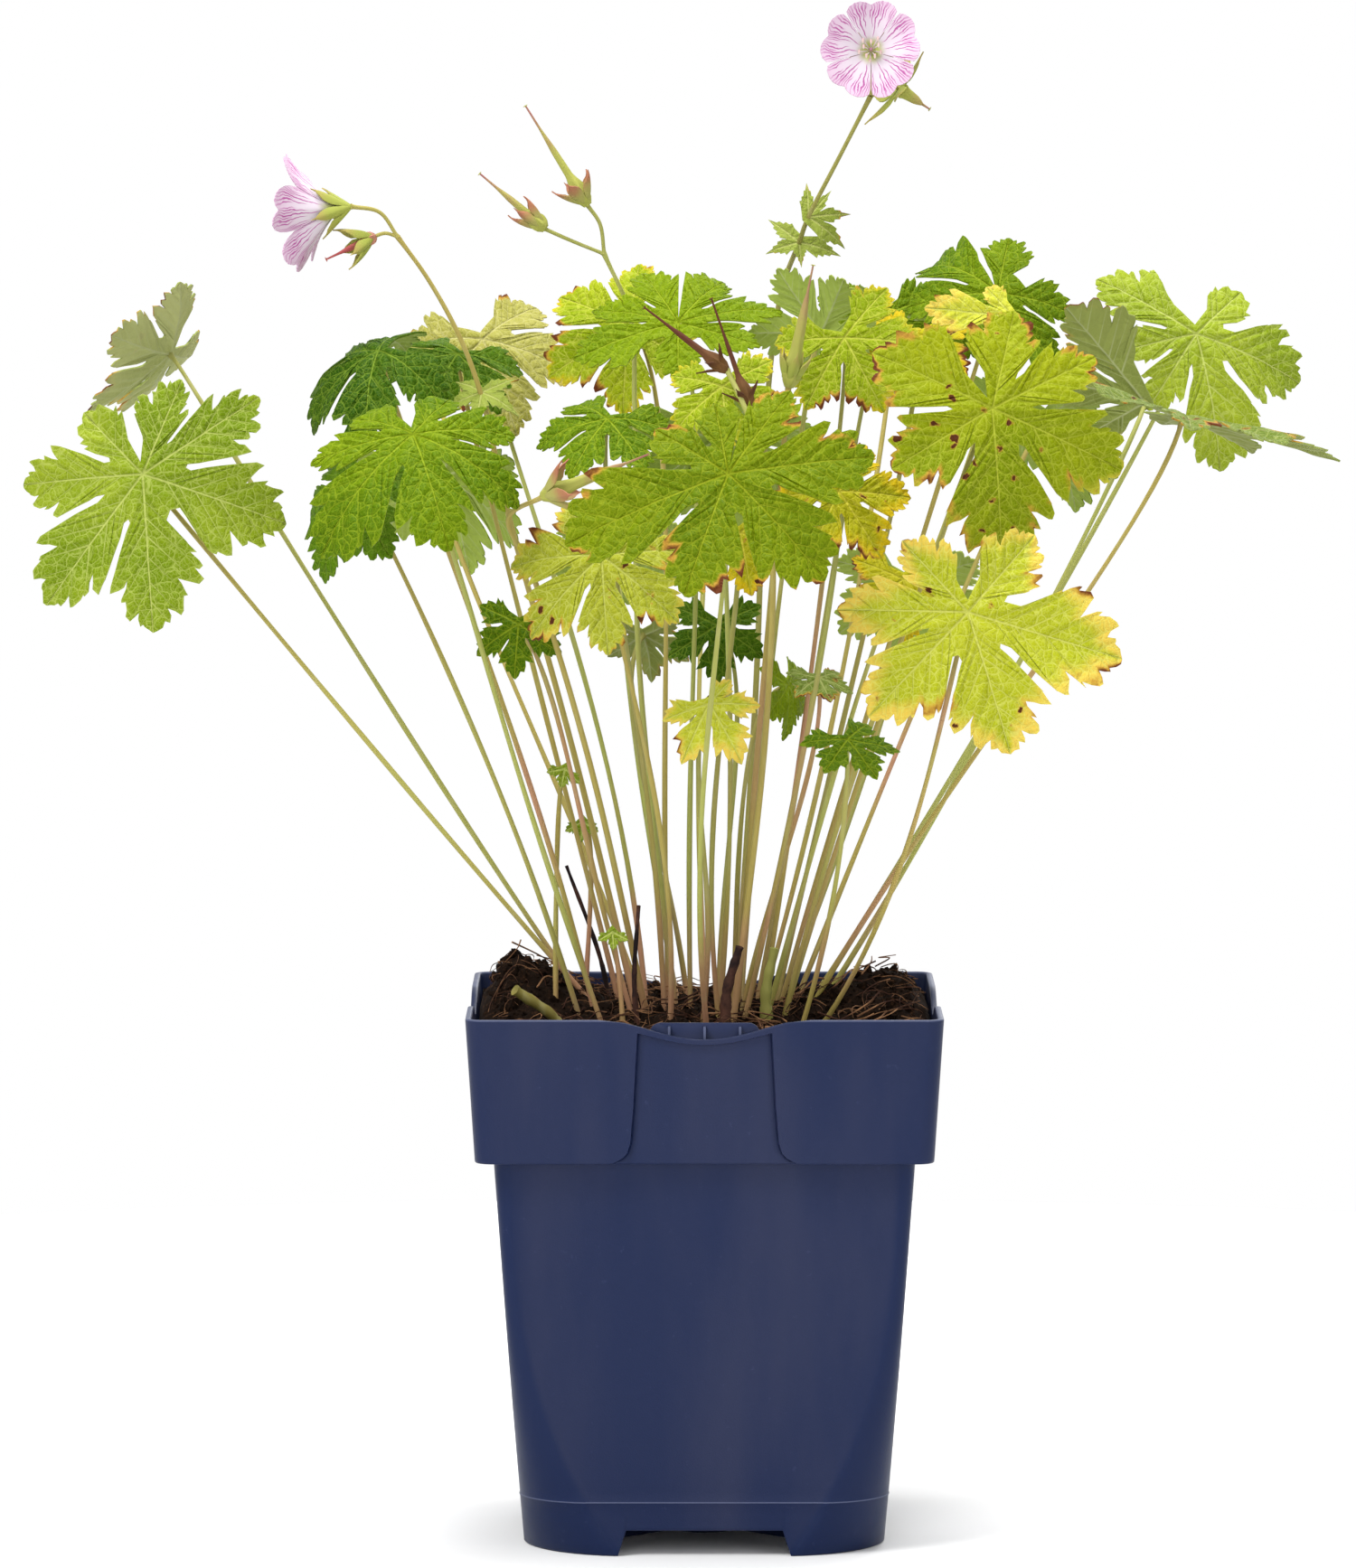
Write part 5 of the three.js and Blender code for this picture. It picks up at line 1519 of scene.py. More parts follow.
@dataclass(frozen=True)
class Fruit:
    """A five-lobed seed head that narrows into its long beak."""

    start: Point
    end: Point
    bulb: float
    neck: float
    sides: int = 20

    def grow(self, work: Patchwork, slot: int) -> None:
        """Adds the fruit and the five small arms at its tip to a patchwork.

        Args:
            work: what it is added to.
            slot: the finish of its faces.
        """
        start, end = np.array(self.start, float), np.array(self.end, float)
        share = np.concatenate([np.linspace(0, 0.34, 14), np.linspace(0.4, 1, 9)])
        bulb, neck = self.bulb, self.neck
        profile = (
            (0, 0.5 * bulb), (0.05, 0.86 * bulb), (0.12, bulb), (0.2, 0.86 * bulb),
            (0.3, neck), (0.55, 0.8 * neck), (0.72, 0.42 * neck), (0.78, 0.28), (1, 0.2),
        )
        radii = np.interp(share, *zip(*profile))
        line = start + (end - start) * share[:, None]
        rings = rod_rings(line, radii, self.sides)
        deep = 0.07 + 0.13 * np.exp(-(((share - 0.12) / 0.1) ** 2))
        rings += (rings - line[:, None]) * (deep[:, None] * np.cos(5 * circle(self.sides)))[..., None]
        add_rings(work, capped(line, rings), slot, NO_TINT)
        aim = unit(end - start)
        out = unit(np.cross(aim, [0.3, 0.2, 1]))
        side = np.cross(aim, out)
        for turn in circle(5):
            lean = out * math.cos(turn) + side * math.sin(turn)
            points = [end - 0.1 * aim, end + 0.15 * aim + 0.25 * lean, end + 0.1 * aim + 0.6 * lean]
            add_rod(work, np.array(points), np.array([0.16, 0.13, 0.06]), 5, slot, UNMARKED)


@dataclass(frozen=True)
class Spray(Growth):
    """A flowering stem with its branches, bracts, calyces and fruits."""

    stems: tuple[Stem, ...]
    bracts: tuple[Bract, ...]
    calyces: tuple[Calyx, ...]
    fruits: tuple[Fruit, ...]
    sepals: str = "green_sepal"
    beak: str = "green_beak"
    slot: str = "green_stem"

    def grow(self, work: Patchwork) -> tuple[str, tuple[str, ...]]:
        """Adds the stems, bracts, calyces and fruits.

        Args:
            work: what they are added to.

        Returns:
            Its slot in the record, and the names of its finishes.
        """
        for slot, parts in enumerate((self.stems, self.bracts, self.calyces, self.fruits)):
            for part in parts:
                part.grow(work, slot)
        return self.slot, ("green_stem_skin", "bract_leaf", self.sepals, self.beak)


SPRAYS = (
    Spray(
        "flower_stem_right",
        (
            Stem(((7, 11, ROOT_HEIGHT), (12, 26, 190), (15, 34, 262), (18, 31, 285), (22, 18, 297),
                  (24, 10, 303), (31, 2, 317), (38, -5, 331)), (0.74, 0.45)),
            Stem(((38, -5, 331), (38.5, -3.5, 336), (38, -8, 340.6)), (0.42, 0.5)),
            Stem(((38, -5, 331), (41.5, -3.5, 333.4), (45, -2, 332.5)), (0.42, 0.44)),
        ),
        (
            Bract((22, 18, 297), (0, 20), 10, ((-132, 1), (-75, 0.85), (5, 0.6), (78, 1.1))),
            Bract((24, 10, 303), (10, 15), 11, ((55, 1.15), (97, 1), (138, 0.8), (178, 0.8))),
        ),
        (
            Calyx((38, -7.6, 340.8), (38, -20, 341.6), 7, -0.5),
            Calyx((44.5, -2, 332.6), (52, 0, 327), 11.5, 0.1),
        ),
        (Fruit((44.5, -2, 332.6), (51.5, -0.5, 328), 1.6, 1.3),),
    ),
    Spray(
        "flower_stem_left",
        (
            Stem(((-14, -2, ROOT_HEIGHT), (-30, 1, 180), (-45, 2, 235), (-51, -1, 262), (-56, -4, 276),
                  (-63, -6, 289), (-70, -9, 299)), (0.74, 0.45)),
            Stem(((-70, -9, 299), (-74, -11, 304.6), (-80.5, -14, 306)), (0.42, 0.5)),
            Stem(((-70, -9, 299), (-72.8, -9.5, 299.8), (-75.5, -10, 299)), (0.42, 0.44)),
        ),
        (Bract((-51, -1, 263), (-10, 50), 11, ((-130, 0.9), (-65, 1), (0, 0.9), (65, 1), (130, 0.9))),),
        (
            Calyx((-80, -13.8, 306), (-94, -9.2, 304), 10.5, -0.86, -0.1, 0.24),
            Calyx((-75, -10, 299.1), (-84, -13, 296), 10, -0.72, -0.6, 0.3),
        ),
        (Fruit((-75, -10, 299.1), (-86, -14, 294), 1.5, 0.8),),
        beak="red_beak",
    ),
    Spray(
        "fruit_stem_left",
        (
            Stem(((-6, 4, ROOT_HEIGHT), (-15, 9, 200), (-16, 13, 258), (-17, 15, 280),
                  (-23, 12, 294.5)), (0.7, 0.44)),
            Stem(((-23, 12, 294.5), (-31, 10, 297.8), (-37, 9, 300.5)), (0.42, 0.48)),
            Stem(((-23, 12, 294.5), (-24, 11, 301.5), (-27, 10, 306)), (0.42, 0.48)),
        ),
        (),
        (
            Calyx((-36.5, 9, 300.3), (-51.5, 8, 313), 9.5, -0.8, -0.85, 0.34),
            Calyx((-26.8, 10, 305.7), (-41, 9, 328.5), 9, -0.66, -0.55, 0.3),
        ),
        (
            Fruit((-36.5, 9, 300.3), (-51.5, 8, 313), 1.9, 0.9),
            Fruit((-26.8, 10, 305.7), (-41, 9, 328.5), 1.9, 0.9),
        ),
        sepals="red_sepal",
    ),
    Spray(
        "fruit_stem_right",
        (Stem(((7, -4, ROOT_HEIGHT), (12, -18, 180), (17, -28, 240), (19, -30, 266)), (0.74, 0.56)),),
        (),
        (Calyx((19, -30, 265.5), (24.5, -31, 293), 9.5, -0.75, -0.8, 0.3),),
        (Fruit((19, -30, 265.5), (24.5, -31, 293), 2.1, 1.35),),
    ),
    Spray(
        "seed_stem",
        (
            Stem(((6, -17, ROOT_HEIGHT), (14, -38, 190), (15, -54, 235), (12, -52, 254),
                  (10, -47, 262)), (0.74, 0.56)),
            Stem(((12, -52, 254), (8, -49, 264), (5, -46, 270)), (0.58, 0.62)),
        ),
        (),
        (
            Calyx((5, -46, 269.8), (-13.5, -46, 284), 7, -0.9),
            Calyx((10, -47, 261.5), (1.5, -47, 286), 7, -0.9),
        ),
        (
            Fruit((5, -46, 269.8), (-13.5, -46, 284), 1.7, 0.8),
            Fruit((10, -47, 261.5), (1.5, -47, 286), 1.7, 0.6),
        ),
        sepals="brown_sepal", beak="brown_beak", slot="dead_stem",
    ),
    Spray(
        "fruit_stem_low",
        (Stem(((-12, -6, ROOT_HEIGHT), (-26, -30, 180), (-39, -48, 225), (-44, -53, 237), (-36, -61, 242.4)),
              (0.74, 0.52)),),
        (),
        (Calyx((-36.5, -61, 242.2), (-12.5, -65, 252), 11, -0.66, -0.4, 0.26),),
        (Fruit((-36.5, -61, 242.2), (-12.5, -65, 252), 2.0, 1.35),),
        sepals="red_sepal",
    ),
)


@dataclass(frozen=True)
class Flower(Growth):
    """Five notched petals round ten stamens."""

    centre: Point
    face: Pair
    roll: float
    radius: float
    cone: float
    droop: float
    seed: int
    half_width: float = 0.56
    stamens: int = 10
    reach: float = 5.2

    def grow(self, work: Patchwork) -> tuple[str, tuple[str, ...]]:
        """Adds the petals, the stamens with their anthers, and the pistil.

        Args:
            work: what they are added to.

        Returns:
            Its slot in the record, and the names of its finishes.
        """
        Blade(
            self.centre, self.face, self.radius, WHORL, Edge.PETAL, roll=self.roll,
            half_width=self.half_width, cut=0.2, fold=0.1, cone=self.cone, droop=self.droop,
            seed=self.seed, ring=True, fan=True, thickness=0.3, quilt=0.0, stride=0.45,
            rows=(0, 0.12, 0.25, 0.4, 0.55, 0.7, 0.85, 0.95, 1),
        ).grow(work, 0, 0.5)
        normal, tip, side = direction_frame(self.face, self.roll)
        centre = np.array(self.centre)
        chance = random.Random(self.seed + 11)
        for number in range(self.stamens):
            turn = FULL_TURN * (number + chance.uniform(-0.2, 0.2)) / self.stamens
            lean = tip * math.cos(turn) + side * math.sin(turn)
            reach = self.reach * chance.uniform(0.8, 1.1)
            spread = reach * (0.55 if number % 2 else 0.34)
            top = centre + normal * reach + lean * spread
            line = through([centre, centre + normal * reach * 0.5 + lean * spread * 0.25, top], 5)
            add_rod(work, line, np.linspace(0.17, 0.12, len(line)), 6, 1)
            anther = np.array([top - 0.55 * tip, top - 0.2 * tip, top + 0.2 * tip, top + 0.55 * tip])
            add_rod(work, anther, np.array([0.12, 0.3, 0.3, 0.12]), 6, 2)
        tip_of_style = centre + normal * (self.reach + 0.6)
        style = through([centre - 0.5 * normal, centre + normal * 2, tip_of_style], 5)
        add_rod(work, style, np.linspace(1.1, 0.3, len(style)), 10, 3)
        return "petal", ("pink_petal", "pale_stamen", "pink_anther", "pistil")


FLOWERS = (
    Flower("flower_right", (38, -10.2, 341.2), (-2, 6), 180, 11.8, -0.5, 0.3, 0),
    Flower("flower_left", (-82.8, -12.9, 305.6), (-108, -6), 22, 17.5, -0.9, 0.45, 3, 0.42),
)


@dataclass(frozen=True)
class Stub(Growth):
    """A stalk without a leaf: dead, cut off, or a thick new shoot."""

    points: tuple[Point, ...]
    radii: Pair
    bark: str
    slot: str
    sides: int = 14
    flute: float = 0.05

    def grow(self, work: Patchwork) -> tuple[str, tuple[str, ...]]:
        """Adds the stub, lumpy and fluted, with a hollow end.

        Args:
            work: what it is added to.

        Returns:
            Its slot in the record, and the names of its finishes.
        """
        line = through(self.points, 12)
        share = np.linspace(0, 1, len(line))
        lumps = 0.1 * np.sin(29 * share + len(self.name)) + 0.06 * np.sin(71 * share)
        radii = (self.radii[0] + (self.radii[1] - self.radii[0]) * share) * (1 + lumps)
        rings = rod_rings(line, radii, self.sides)
        rings += (rings - line[:, None]) * self.flute * np.cos(5 * circle(self.sides))[..., None]
        dish = line[-1] + (rings[-1] - line[-1]) * 0.55 - 0.45 * unit(line[-1] - line[-2])
        ends = np.array([line[0], dish.mean(axis=0)])
        work.grid(capped(ends, np.concatenate([rings, dish[None]])), wrap=True)
        return self.slot, (self.bark,)


STUBS = (
    Stub("dead_stalk_left", ((-21, 20, ROOT_HEIGHT), (-24, 21, 130), (-32, 22, 152)),
         (0.7, 0.4), "dead_bark", "dead_stem"),
    Stub("dead_stalk_middle", ((-15, -19, ROOT_HEIGHT), (-16, -22, 130), (-15, -23, 147)),
         (0.75, 0.42), "dead_bark", "dead_stem"),
    Stub("dead_stub", ((5, -25, ROOT_HEIGHT), (5, -26, 127), (8, -28, 138)),
         (1.5, 0.9), "dead_bark", "dead_stem"),
    Stub("young_shoot", ((15, -18, ROOT_HEIGHT), (14, -20, 126), (16, -21, 137)),
         (1.6, 0.95), "shoot_skin", "green_stem"),
    Stub("cut_stalk", ((-30, -28, ROOT_HEIGHT), (-34, -31, 122), (-43, -36, 129)),
         (1.0, 1.25), "cut_stem_skin", "green_stem"),
)


# ------------------------------------------------------------------------------------ repeats


class Tree(Nodes):
    """A Geometry Nodes tree with named inputs, that turns a carrier's surface into plain pieces."""

    def __init__(self, name: str, inputs: dict[str, float | int]) -> None:
        """Makes the tree with its inputs.

        Args:
            name: the tree's name.
            inputs: each input's name and value; a whole number makes a whole-number input.
        """
        super().__init__(bpy.data.node_groups.new(name, "GeometryNodeTree"))
        sockets = self.tree.interface
        sockets.new_socket("Surface", in_out="INPUT", socket_type="NodeSocketGeometry")
        self.values = {}
        for key, value in inputs.items():
            kind = "NodeSocketInt" if isinstance(value, int) else "NodeSocketFloat"
            self.values[key] = (sockets.new_socket(key, in_out="INPUT", socket_type=kind).identifier, value)
        sockets.new_socket("Pieces", in_out="OUTPUT", socket_type="NodeSocketGeometry")
        self.given = self.node("NodeGroupInput", {}).outputs
        self.result = self.node("NodeGroupOutput", {})

    def fading(self, low: float, high: float, sparse: float) -> Socket:
        """The Density input, lowered to a sparse share of itself from one height to a higher one.

        Args:
            low: the height where it starts to fall, in metres.
            high: the height where it ends.
            sparse: the share that is left there.

        Returns:
            The density.
        """
        place = self.node("GeometryNodeInputPosition", {}).outputs[0]
        height = self.node("ShaderNodeSeparateXYZ", {0: place}).outputs["Z"]
        ends = {"From Min": low, "From Max": high, "To Min": 1.0, "To Max": sparse}
        share = self.node("ShaderNodeMapRange", {"Value": height, **ends}).outputs[0]
        lowered = self.node("ShaderNodeMath", {0: share, 1: self.given["Density"]}, operation="MULTIPLY")
        return lowered.outputs[0]

    def scatter(
        self,
        thing: Socket,
        lean: Point,
        sizes: tuple[Point, Point],
        finish: bpy.types.Material,
        density: Socket | None = None,
    ) -> None:
        """Scatters a thing over the surface, as many to the square metre as the Density input says.

        Args:
            thing: the geometry to scatter.
            lean: the most that one is turned about each of its axes, in radians.
            sizes: the least and the most size of one, along each axis.
            finish: its material.
            density: what stands for the Density input, where it isn't the same all over.
        """
        seed = self.given["Seed"]
        spread = {"Mesh": self.given["Surface"], "Density": density or self.given["Density"], "Seed": seed}
        where = self.node("GeometryNodeDistributePointsOnFaces", spread)
        turn, size = (
            self.node("FunctionNodeRandomValue", {0: low, 1: high, "Seed": seed}, data_type="FLOAT_VECTOR")
            for low, high in ((tuple(-angle for angle in lean), lean), sizes)
        )
        turned = self.node(
            "FunctionNodeRotateRotation", {0: where.outputs["Rotation"], 1: turn.outputs[0]},
            rotation_space="LOCAL",
        )
        spots = self.node("GeometryNodeInstanceOnPoints", {
            "Points": where.outputs["Points"], "Instance": thing,
            "Rotation": turned.outputs[0], "Scale": size.outputs[0],
        })
        plain = self.node("GeometryNodeRealizeInstances", {0: spots.outputs[0]})
        dressed = self.node("GeometryNodeSetMaterial", {"Geometry": plain.outputs[0], "Material": finish})
        self.tree.links.new(dressed.outputs[0], self.result.inputs[0])

    def ball(self, splits: int) -> Socket:
        """A ball of the Radius input, its faces split so many times."""
        inputs = {"Radius": self.given["Radius"], "Subdivisions": splits}
        return self.node("GeometryNodeMeshIcoSphere", inputs).outputs[0]

    def run(self, carrier: bpy.types.Object, name: str) -> bpy.types.Object:
        """Runs the tree on a carrier's surface.

        Args:
            carrier: the object whose surface is used; it is left as it was.
            name: the new piece's name.

        Returns:
            The plain piece.
        """
        modifier = carrier.modifiers.new(self.tree.name, "NODES")
        modifier.node_group = self.tree
        for identifier, value in self.values.values():
            modifier[identifier] = value
        depsgraph = bpy.context.evaluated_depsgraph_get()
        mesh = bpy.data.meshes.new_from_object(carrier.evaluated_get(depsgraph))
        carrier.modifiers.remove(modifier)
        mesh.name = name
        return linked(name, mesh)


@dataclass(frozen=True)
class StemHairs:
    """Short soft hairs that stand out from the stems.

    density is how many stand on a square metre. It falls to sparse of that over the heights of fade,
    which are in metres. lean and sizes are the most that a hair is turned and its least and most size.
    """

    density: float = 300000.0
    sparse: float = 0.06
    length: float = 0.65
    radius: float = 0.014
    seed: int = 5
    sides: int = 8
    fade: Pair = (0.16, 0.22)
    lean: Point = (0.75, 0.75, 3.1)
    sizes: tuple[Point, Point] = ((0.8, 0.8, 0.5), (1.2, 1.2, 1.5))

    def make(
        self, leaves: tuple[Leaf, ...], sprays: tuple[Spray, ...], finish: bpy.types.Material
    ) -> None:
        """Grows the hairs on a carrier of all the stems.

        Args:
            leaves: the leaves, whose stalks are hairy.
            sprays: the flowering stems.
            finish: the hairs' material.
        """
        work = Patchwork()
        for leaf in leaves:
            line, radii = leaf.stalk_line(16)
            work.grid(rod_rings(line[2:], radii[2:], self.sides), wrap=True)
        for spray in sprays:
            for stem in spray.stems:
                line = through(stem.points, 5)[3:]
                work.grid(rod_rings(line, np.linspace(*stem.radii, len(line)), self.sides), wrap=True)
        carrier = work.piece("stem_surface", [])
        size = {"Length": self.length * MM, "Radius": self.radius * MM}
        tree = Tree("stem_hairs", {"Density": self.density, "Seed": self.seed, **size})
        hair = tree.node("GeometryNodeMeshCone", {
            "Vertices": 3, "Side Segments": 1, "Radius Top": 0.0,
            "Radius Bottom": tree.given["Radius"], "Depth": tree.given["Length"],
        }, fill_type="NONE")
        thinner = tree.fading(*self.fade, self.sparse)
        tree.scatter(hair.outputs[0], self.lean, self.sizes, finish, thinner)
        placed(tree.run(carrier, "stem_hairs"))
        bpy.data.objects.remove(carrier)


# ------------------------------------------------------------------------------------ soil


@dataclass(frozen=True)
class Litter:
    """Small things strewn over the soil, round crumbs by default.

    density is how many lie on a square metre. least and most are their sizes along each axis.
    """

    name: str
    density: float
    seed: int
    radius: float
    least: Point
    most: Point
    lean: Point = (3.1, 3.1, 3.1)
    finish: str = "peat_soil"

    def shape(self, tree: Tree) -> Socket:
        """One crumb of the Radius input."""
        return tree.ball(1)

    def strew(self, carrier: bpy.types.Object, skins: Skins) -> None:
        """Scatters the things and places them as one piece.

        Args:
            carrier: the surface that they lie on.
            skins: the finished materials by name.
        """
        tree = Tree(self.name, {"Density": self.density, "Seed": self.seed, "Radius": self.radius * MM})
        tree.scatter(self.shape(tree), self.lean, (self.least, self.most), skins[self.finish])
        placed(tree.run(carrier, self.name))


@dataclass(frozen=True)
class Lumps(Litter):
    """Lumps made uneven by a noise, with so many waves to the metre and a push in metres."""

    waves: float = 700.0
    push: float = 0.0028

    def shape(self, tree: Tree) -> Socket:
        """One lump, a ball pushed about by a noise.

        Args:
            tree: the tree that it is made in.

        Returns:
            Its geometry.
        """
        shift = tree.node("ShaderNodeTexNoise", {"Scale": self.waves, "Detail": 3.0}).outputs["Color"]
        shift = tree.node("ShaderNodeVectorMath", {0: shift, 1: (0.5, 0.5, 0.5)}, operation="SUBTRACT")
        inputs = {0: shift.outputs[0], "Scale": self.push}
        push = tree.node("ShaderNodeVectorMath", inputs, operation="SCALE")
        inputs = {"Geometry": tree.ball(2), "Offset": push.outputs[0]}
        return tree.node("GeometryNodeSetPosition", inputs).outputs[0]


@dataclass(frozen=True)
class Fibres(Litter):
    """Bent fibres, through three places in metres."""

    arc: tuple[Point, Point, Point] = (
        (-0.0035, 0, 0.0004), (0.0002, 0.0022, 0.0016), (0.0035, -0.0004, 0.0002),
    )

    def shape(self, tree: Tree) -> Socket:
        """One bent fibre.

        Args:
            tree: the tree that it is made in.

        Returns:
            Its geometry.
        """
        places = dict(zip(("Start", "Middle", "End"), self.arc))
        arc = tree.node("GeometryNodeCurveQuadraticBezier", {"Resolution": 5, **places})
        inputs = {"Resolution": 3, "Radius": tree.given["Radius"]}
        ring = tree.node("GeometryNodeCurvePrimitiveCircle", inputs)
        return tree.node("GeometryNodeCurveToMesh", {0: arc.outputs[0], 1: ring.outputs[0]}).outputs[0]


LITTER = (
    Litter("soil_crumbs", 300000.0, 3, 0.5, (0.4, 0.4, 0.3), (1.6, 1.4, 1.1)),
    Lumps("soil_lumps", 42000.0, 8, 1.5, (0.5, 0.5, 0.4), (1.5, 1.3, 1.0)),
    Fibres("soil_fibres", 50000.0, 12, 0.08, (0.3, 0.3, 0.5), (1.5, 1.8, 2.2),
           lean=(0.35, 0.35, 3.1), finish="dry_fibre"),
)


@dataclass(frozen=True)
class Soil:
    """Peat that fills the pot to just under the rim, with crumbs, fibres and a few dry roots on it.

    A heap is its height, its middle and its spread; the heaps against the walls fall off over wall_fall.
    wall is the filling's outline, as heights and half widths. strands is the number of dry roots,
    reach how far out they may lie, and laid are the thick ones. The soil stays low round the label tab.
    """

    level: float = 119.0
    tilt: float = 0.03
    half: float = 51.75
    corner: float = 2.4
    cells: int = 120
    rough: float = 1.2
    strands: int = 110
    reach: float = 49.5
    tab_half: float = 14.2
    tab_front: float = -47.4
    tab_foot: float = 108.4
    mound: tuple[float, ...] = (3.0, 0, 0, 500)
    heaps: tuple[tuple[float, ...], ...] = ((13.0, -45, 6, 300), (10.0, 45, 4, 380))
    wall_fall: float = 7.0
    wall: tuple[Pair, ...] = ((93.0, 50.2), (92.6, 46.0), (60.0, 43.6), (30.0, 40.0), (8.0, 36.0))
    laid: tuple[tuple[Pair, ...], ...] = (
        ((30, -46), (36, -47.5), (43, -46.5), (49, -47.8)),
        ((-46, -38), (-40, -42), (-31, -44), (-22, -47)),
        ((14, -30), (20, -37), (25, -45)),
        ((-10, -34), (-16, -41), (-15, -47.5)),
    )

    def height(self, x: np.ndarray, y: np.ndarray) -> np.ndarray:
        """The height of the lumpy top, with heaps against the left and right walls.

        Args:
            x: places across, in millimetres.
            y: places from front to back.

        Returns:
            The heights.
        """
        mound, left, right = (
            rise * np.exp(-((x - at_x) ** 2 + (y - at_y) ** 2) / spread)
            for rise, at_x, at_y, spread in (self.mound, *self.heaps)
        )
        waves = np.sin(0.23 * x + 1) * np.cos(0.19 * y) + 0.6 * np.sin(0.47 * x + 0.35 * y)
        heaps = (left + right) * np.clip((self.half - np.abs(x)) / self.wall_fall, 0, 1) ** 0.6
        return self.level + self.tilt * y + mound + heaps + 0.8 * waves

    def top(self) -> np.ndarray:
        """The top's grid of places.

        Returns:
            The places, rows by columns by 3.
        """
        share = np.linspace(-1, 1, self.cells + 1)
        x, y = np.meshgrid(share * self.half, share * self.half, indexing="xy")
        inner = self.half - self.corner
        dx, dy = np.maximum(np.abs(x) - inner, 0), np.maximum(np.abs(y) - inner, 0)
        shrink = np.maximum(dx, dy) / np.maximum(np.hypot(dx, dy), 1e-9)
        both = (dx > 0) & (dy > 0)
        x = np.where(both, np.sign(x) * (inner + dx * shrink), x)
        y = np.where(both, np.sign(y) * (inner + dy * shrink), y)
        z = self.height(x, y)
        for i, j in np.ndindex(z.shape):
            spot = Vector((x[i, j], y[i, j], 0))
            fine = noise.fractal(spot * 0.34, 1.0, 2.1, 4)
            z[i, j] += self.rough * (fine + 0.7 * noise.noise(spot * 0.11))
        tab = (np.abs(x) < self.tab_half) & (y < self.tab_front)
        return np.stack([x, y, np.where(tab, np.minimum(z, self.tab_foot), z)], axis=-1)

    def body(self, finish: bpy.types.Material) -> bpy.types.Object:
        """The filling as one closed piece.

        Args:
            finish: its material.

        Returns:
            The piece.
        """
        top = self.top()
        work = Patchwork()
        work.grid(top)
        edge = np.concatenate([top[0, :-1], top[:-1, -1], top[-1, :0:-1], top[:0:-1, 0]])
        rings = [edge]
        for height, half in (*self.wall, (self.wall[-1][0], 0)):
            rings.append(edge * np.array([half / self.half, half / self.half, 0]) + np.array([0, 0, height]))
        work.grid(np.array(rings), wrap=True, flip=True)
        return work.piece("soil_dressed", [finish])

    def surface(self) -> bpy.types.Object:
        """The top alone, as a carrier for what lies on it, clear of the walls.

        Returns:
            The carrier.
        """
        work = Patchwork()
        work.grid(self.top()[4:-4, 4:-4])
        return work.piece("soil_top", [])

    def make(self, skins: Skins) -> None:
        """Builds the filling, its crumbs, fibres and roots.

        Args:
            skins: the finished materials by name.
        """
        placed(self.body(skins["peat_soil"]), ("soil",))
        carrier = self.surface()
        for litter in LITTER:
            litter.strew(carrier, skins)
        bpy.data.objects.remove(carrier)
        self.roots(skins["dry_fibre"])

    def roots(self, finish: bpy.types.Material) -> None:
        """Lays the long dry roots and bits of stalk on the soil.

        Args:
            finish: their material.
        """
        work = Patchwork()
        chance = random.Random(21)
        lines = list(self.laid)
        for _ in range(self.strands):
            x, y = chance.uniform(-46, 46), chance.uniform(-46, 44)
            turn, length = chance.uniform(0, FULL_TURN), chance.uniform(5, 20)
            line = []
            for share in (0, 0.33, 0.66, 1.0):
                along, aside = share * length, turn + share * chance.uniform(-1, 1)
                line.append((x + along * math.cos(aside), y + along * math.sin(turn + share)))
            lines.append(line)
        for number, flat in enumerate(lines):
            is_laid = number < len(self.laid)
            points = []
            for x, y in flat:
                x, y = (min(max(value, -self.reach), self.reach) for value in (x, y))
                lift = 1.3 + chance.uniform(0, 0.7 if is_laid else 2.6)
                points.append((x, y, float(self.height(np.array(x), np.array(y))) + lift))
            line = through(points, 7)
            thick = 0.45 if is_laid else chance.uniform(0.1, 0.26)
            add_rod(work, line, np.linspace(thick, thick * 0.5, len(line)), 6)
        placed(work.piece("dry_roots", [finish]))


# ------------------------------------------------------------------------------------ pot


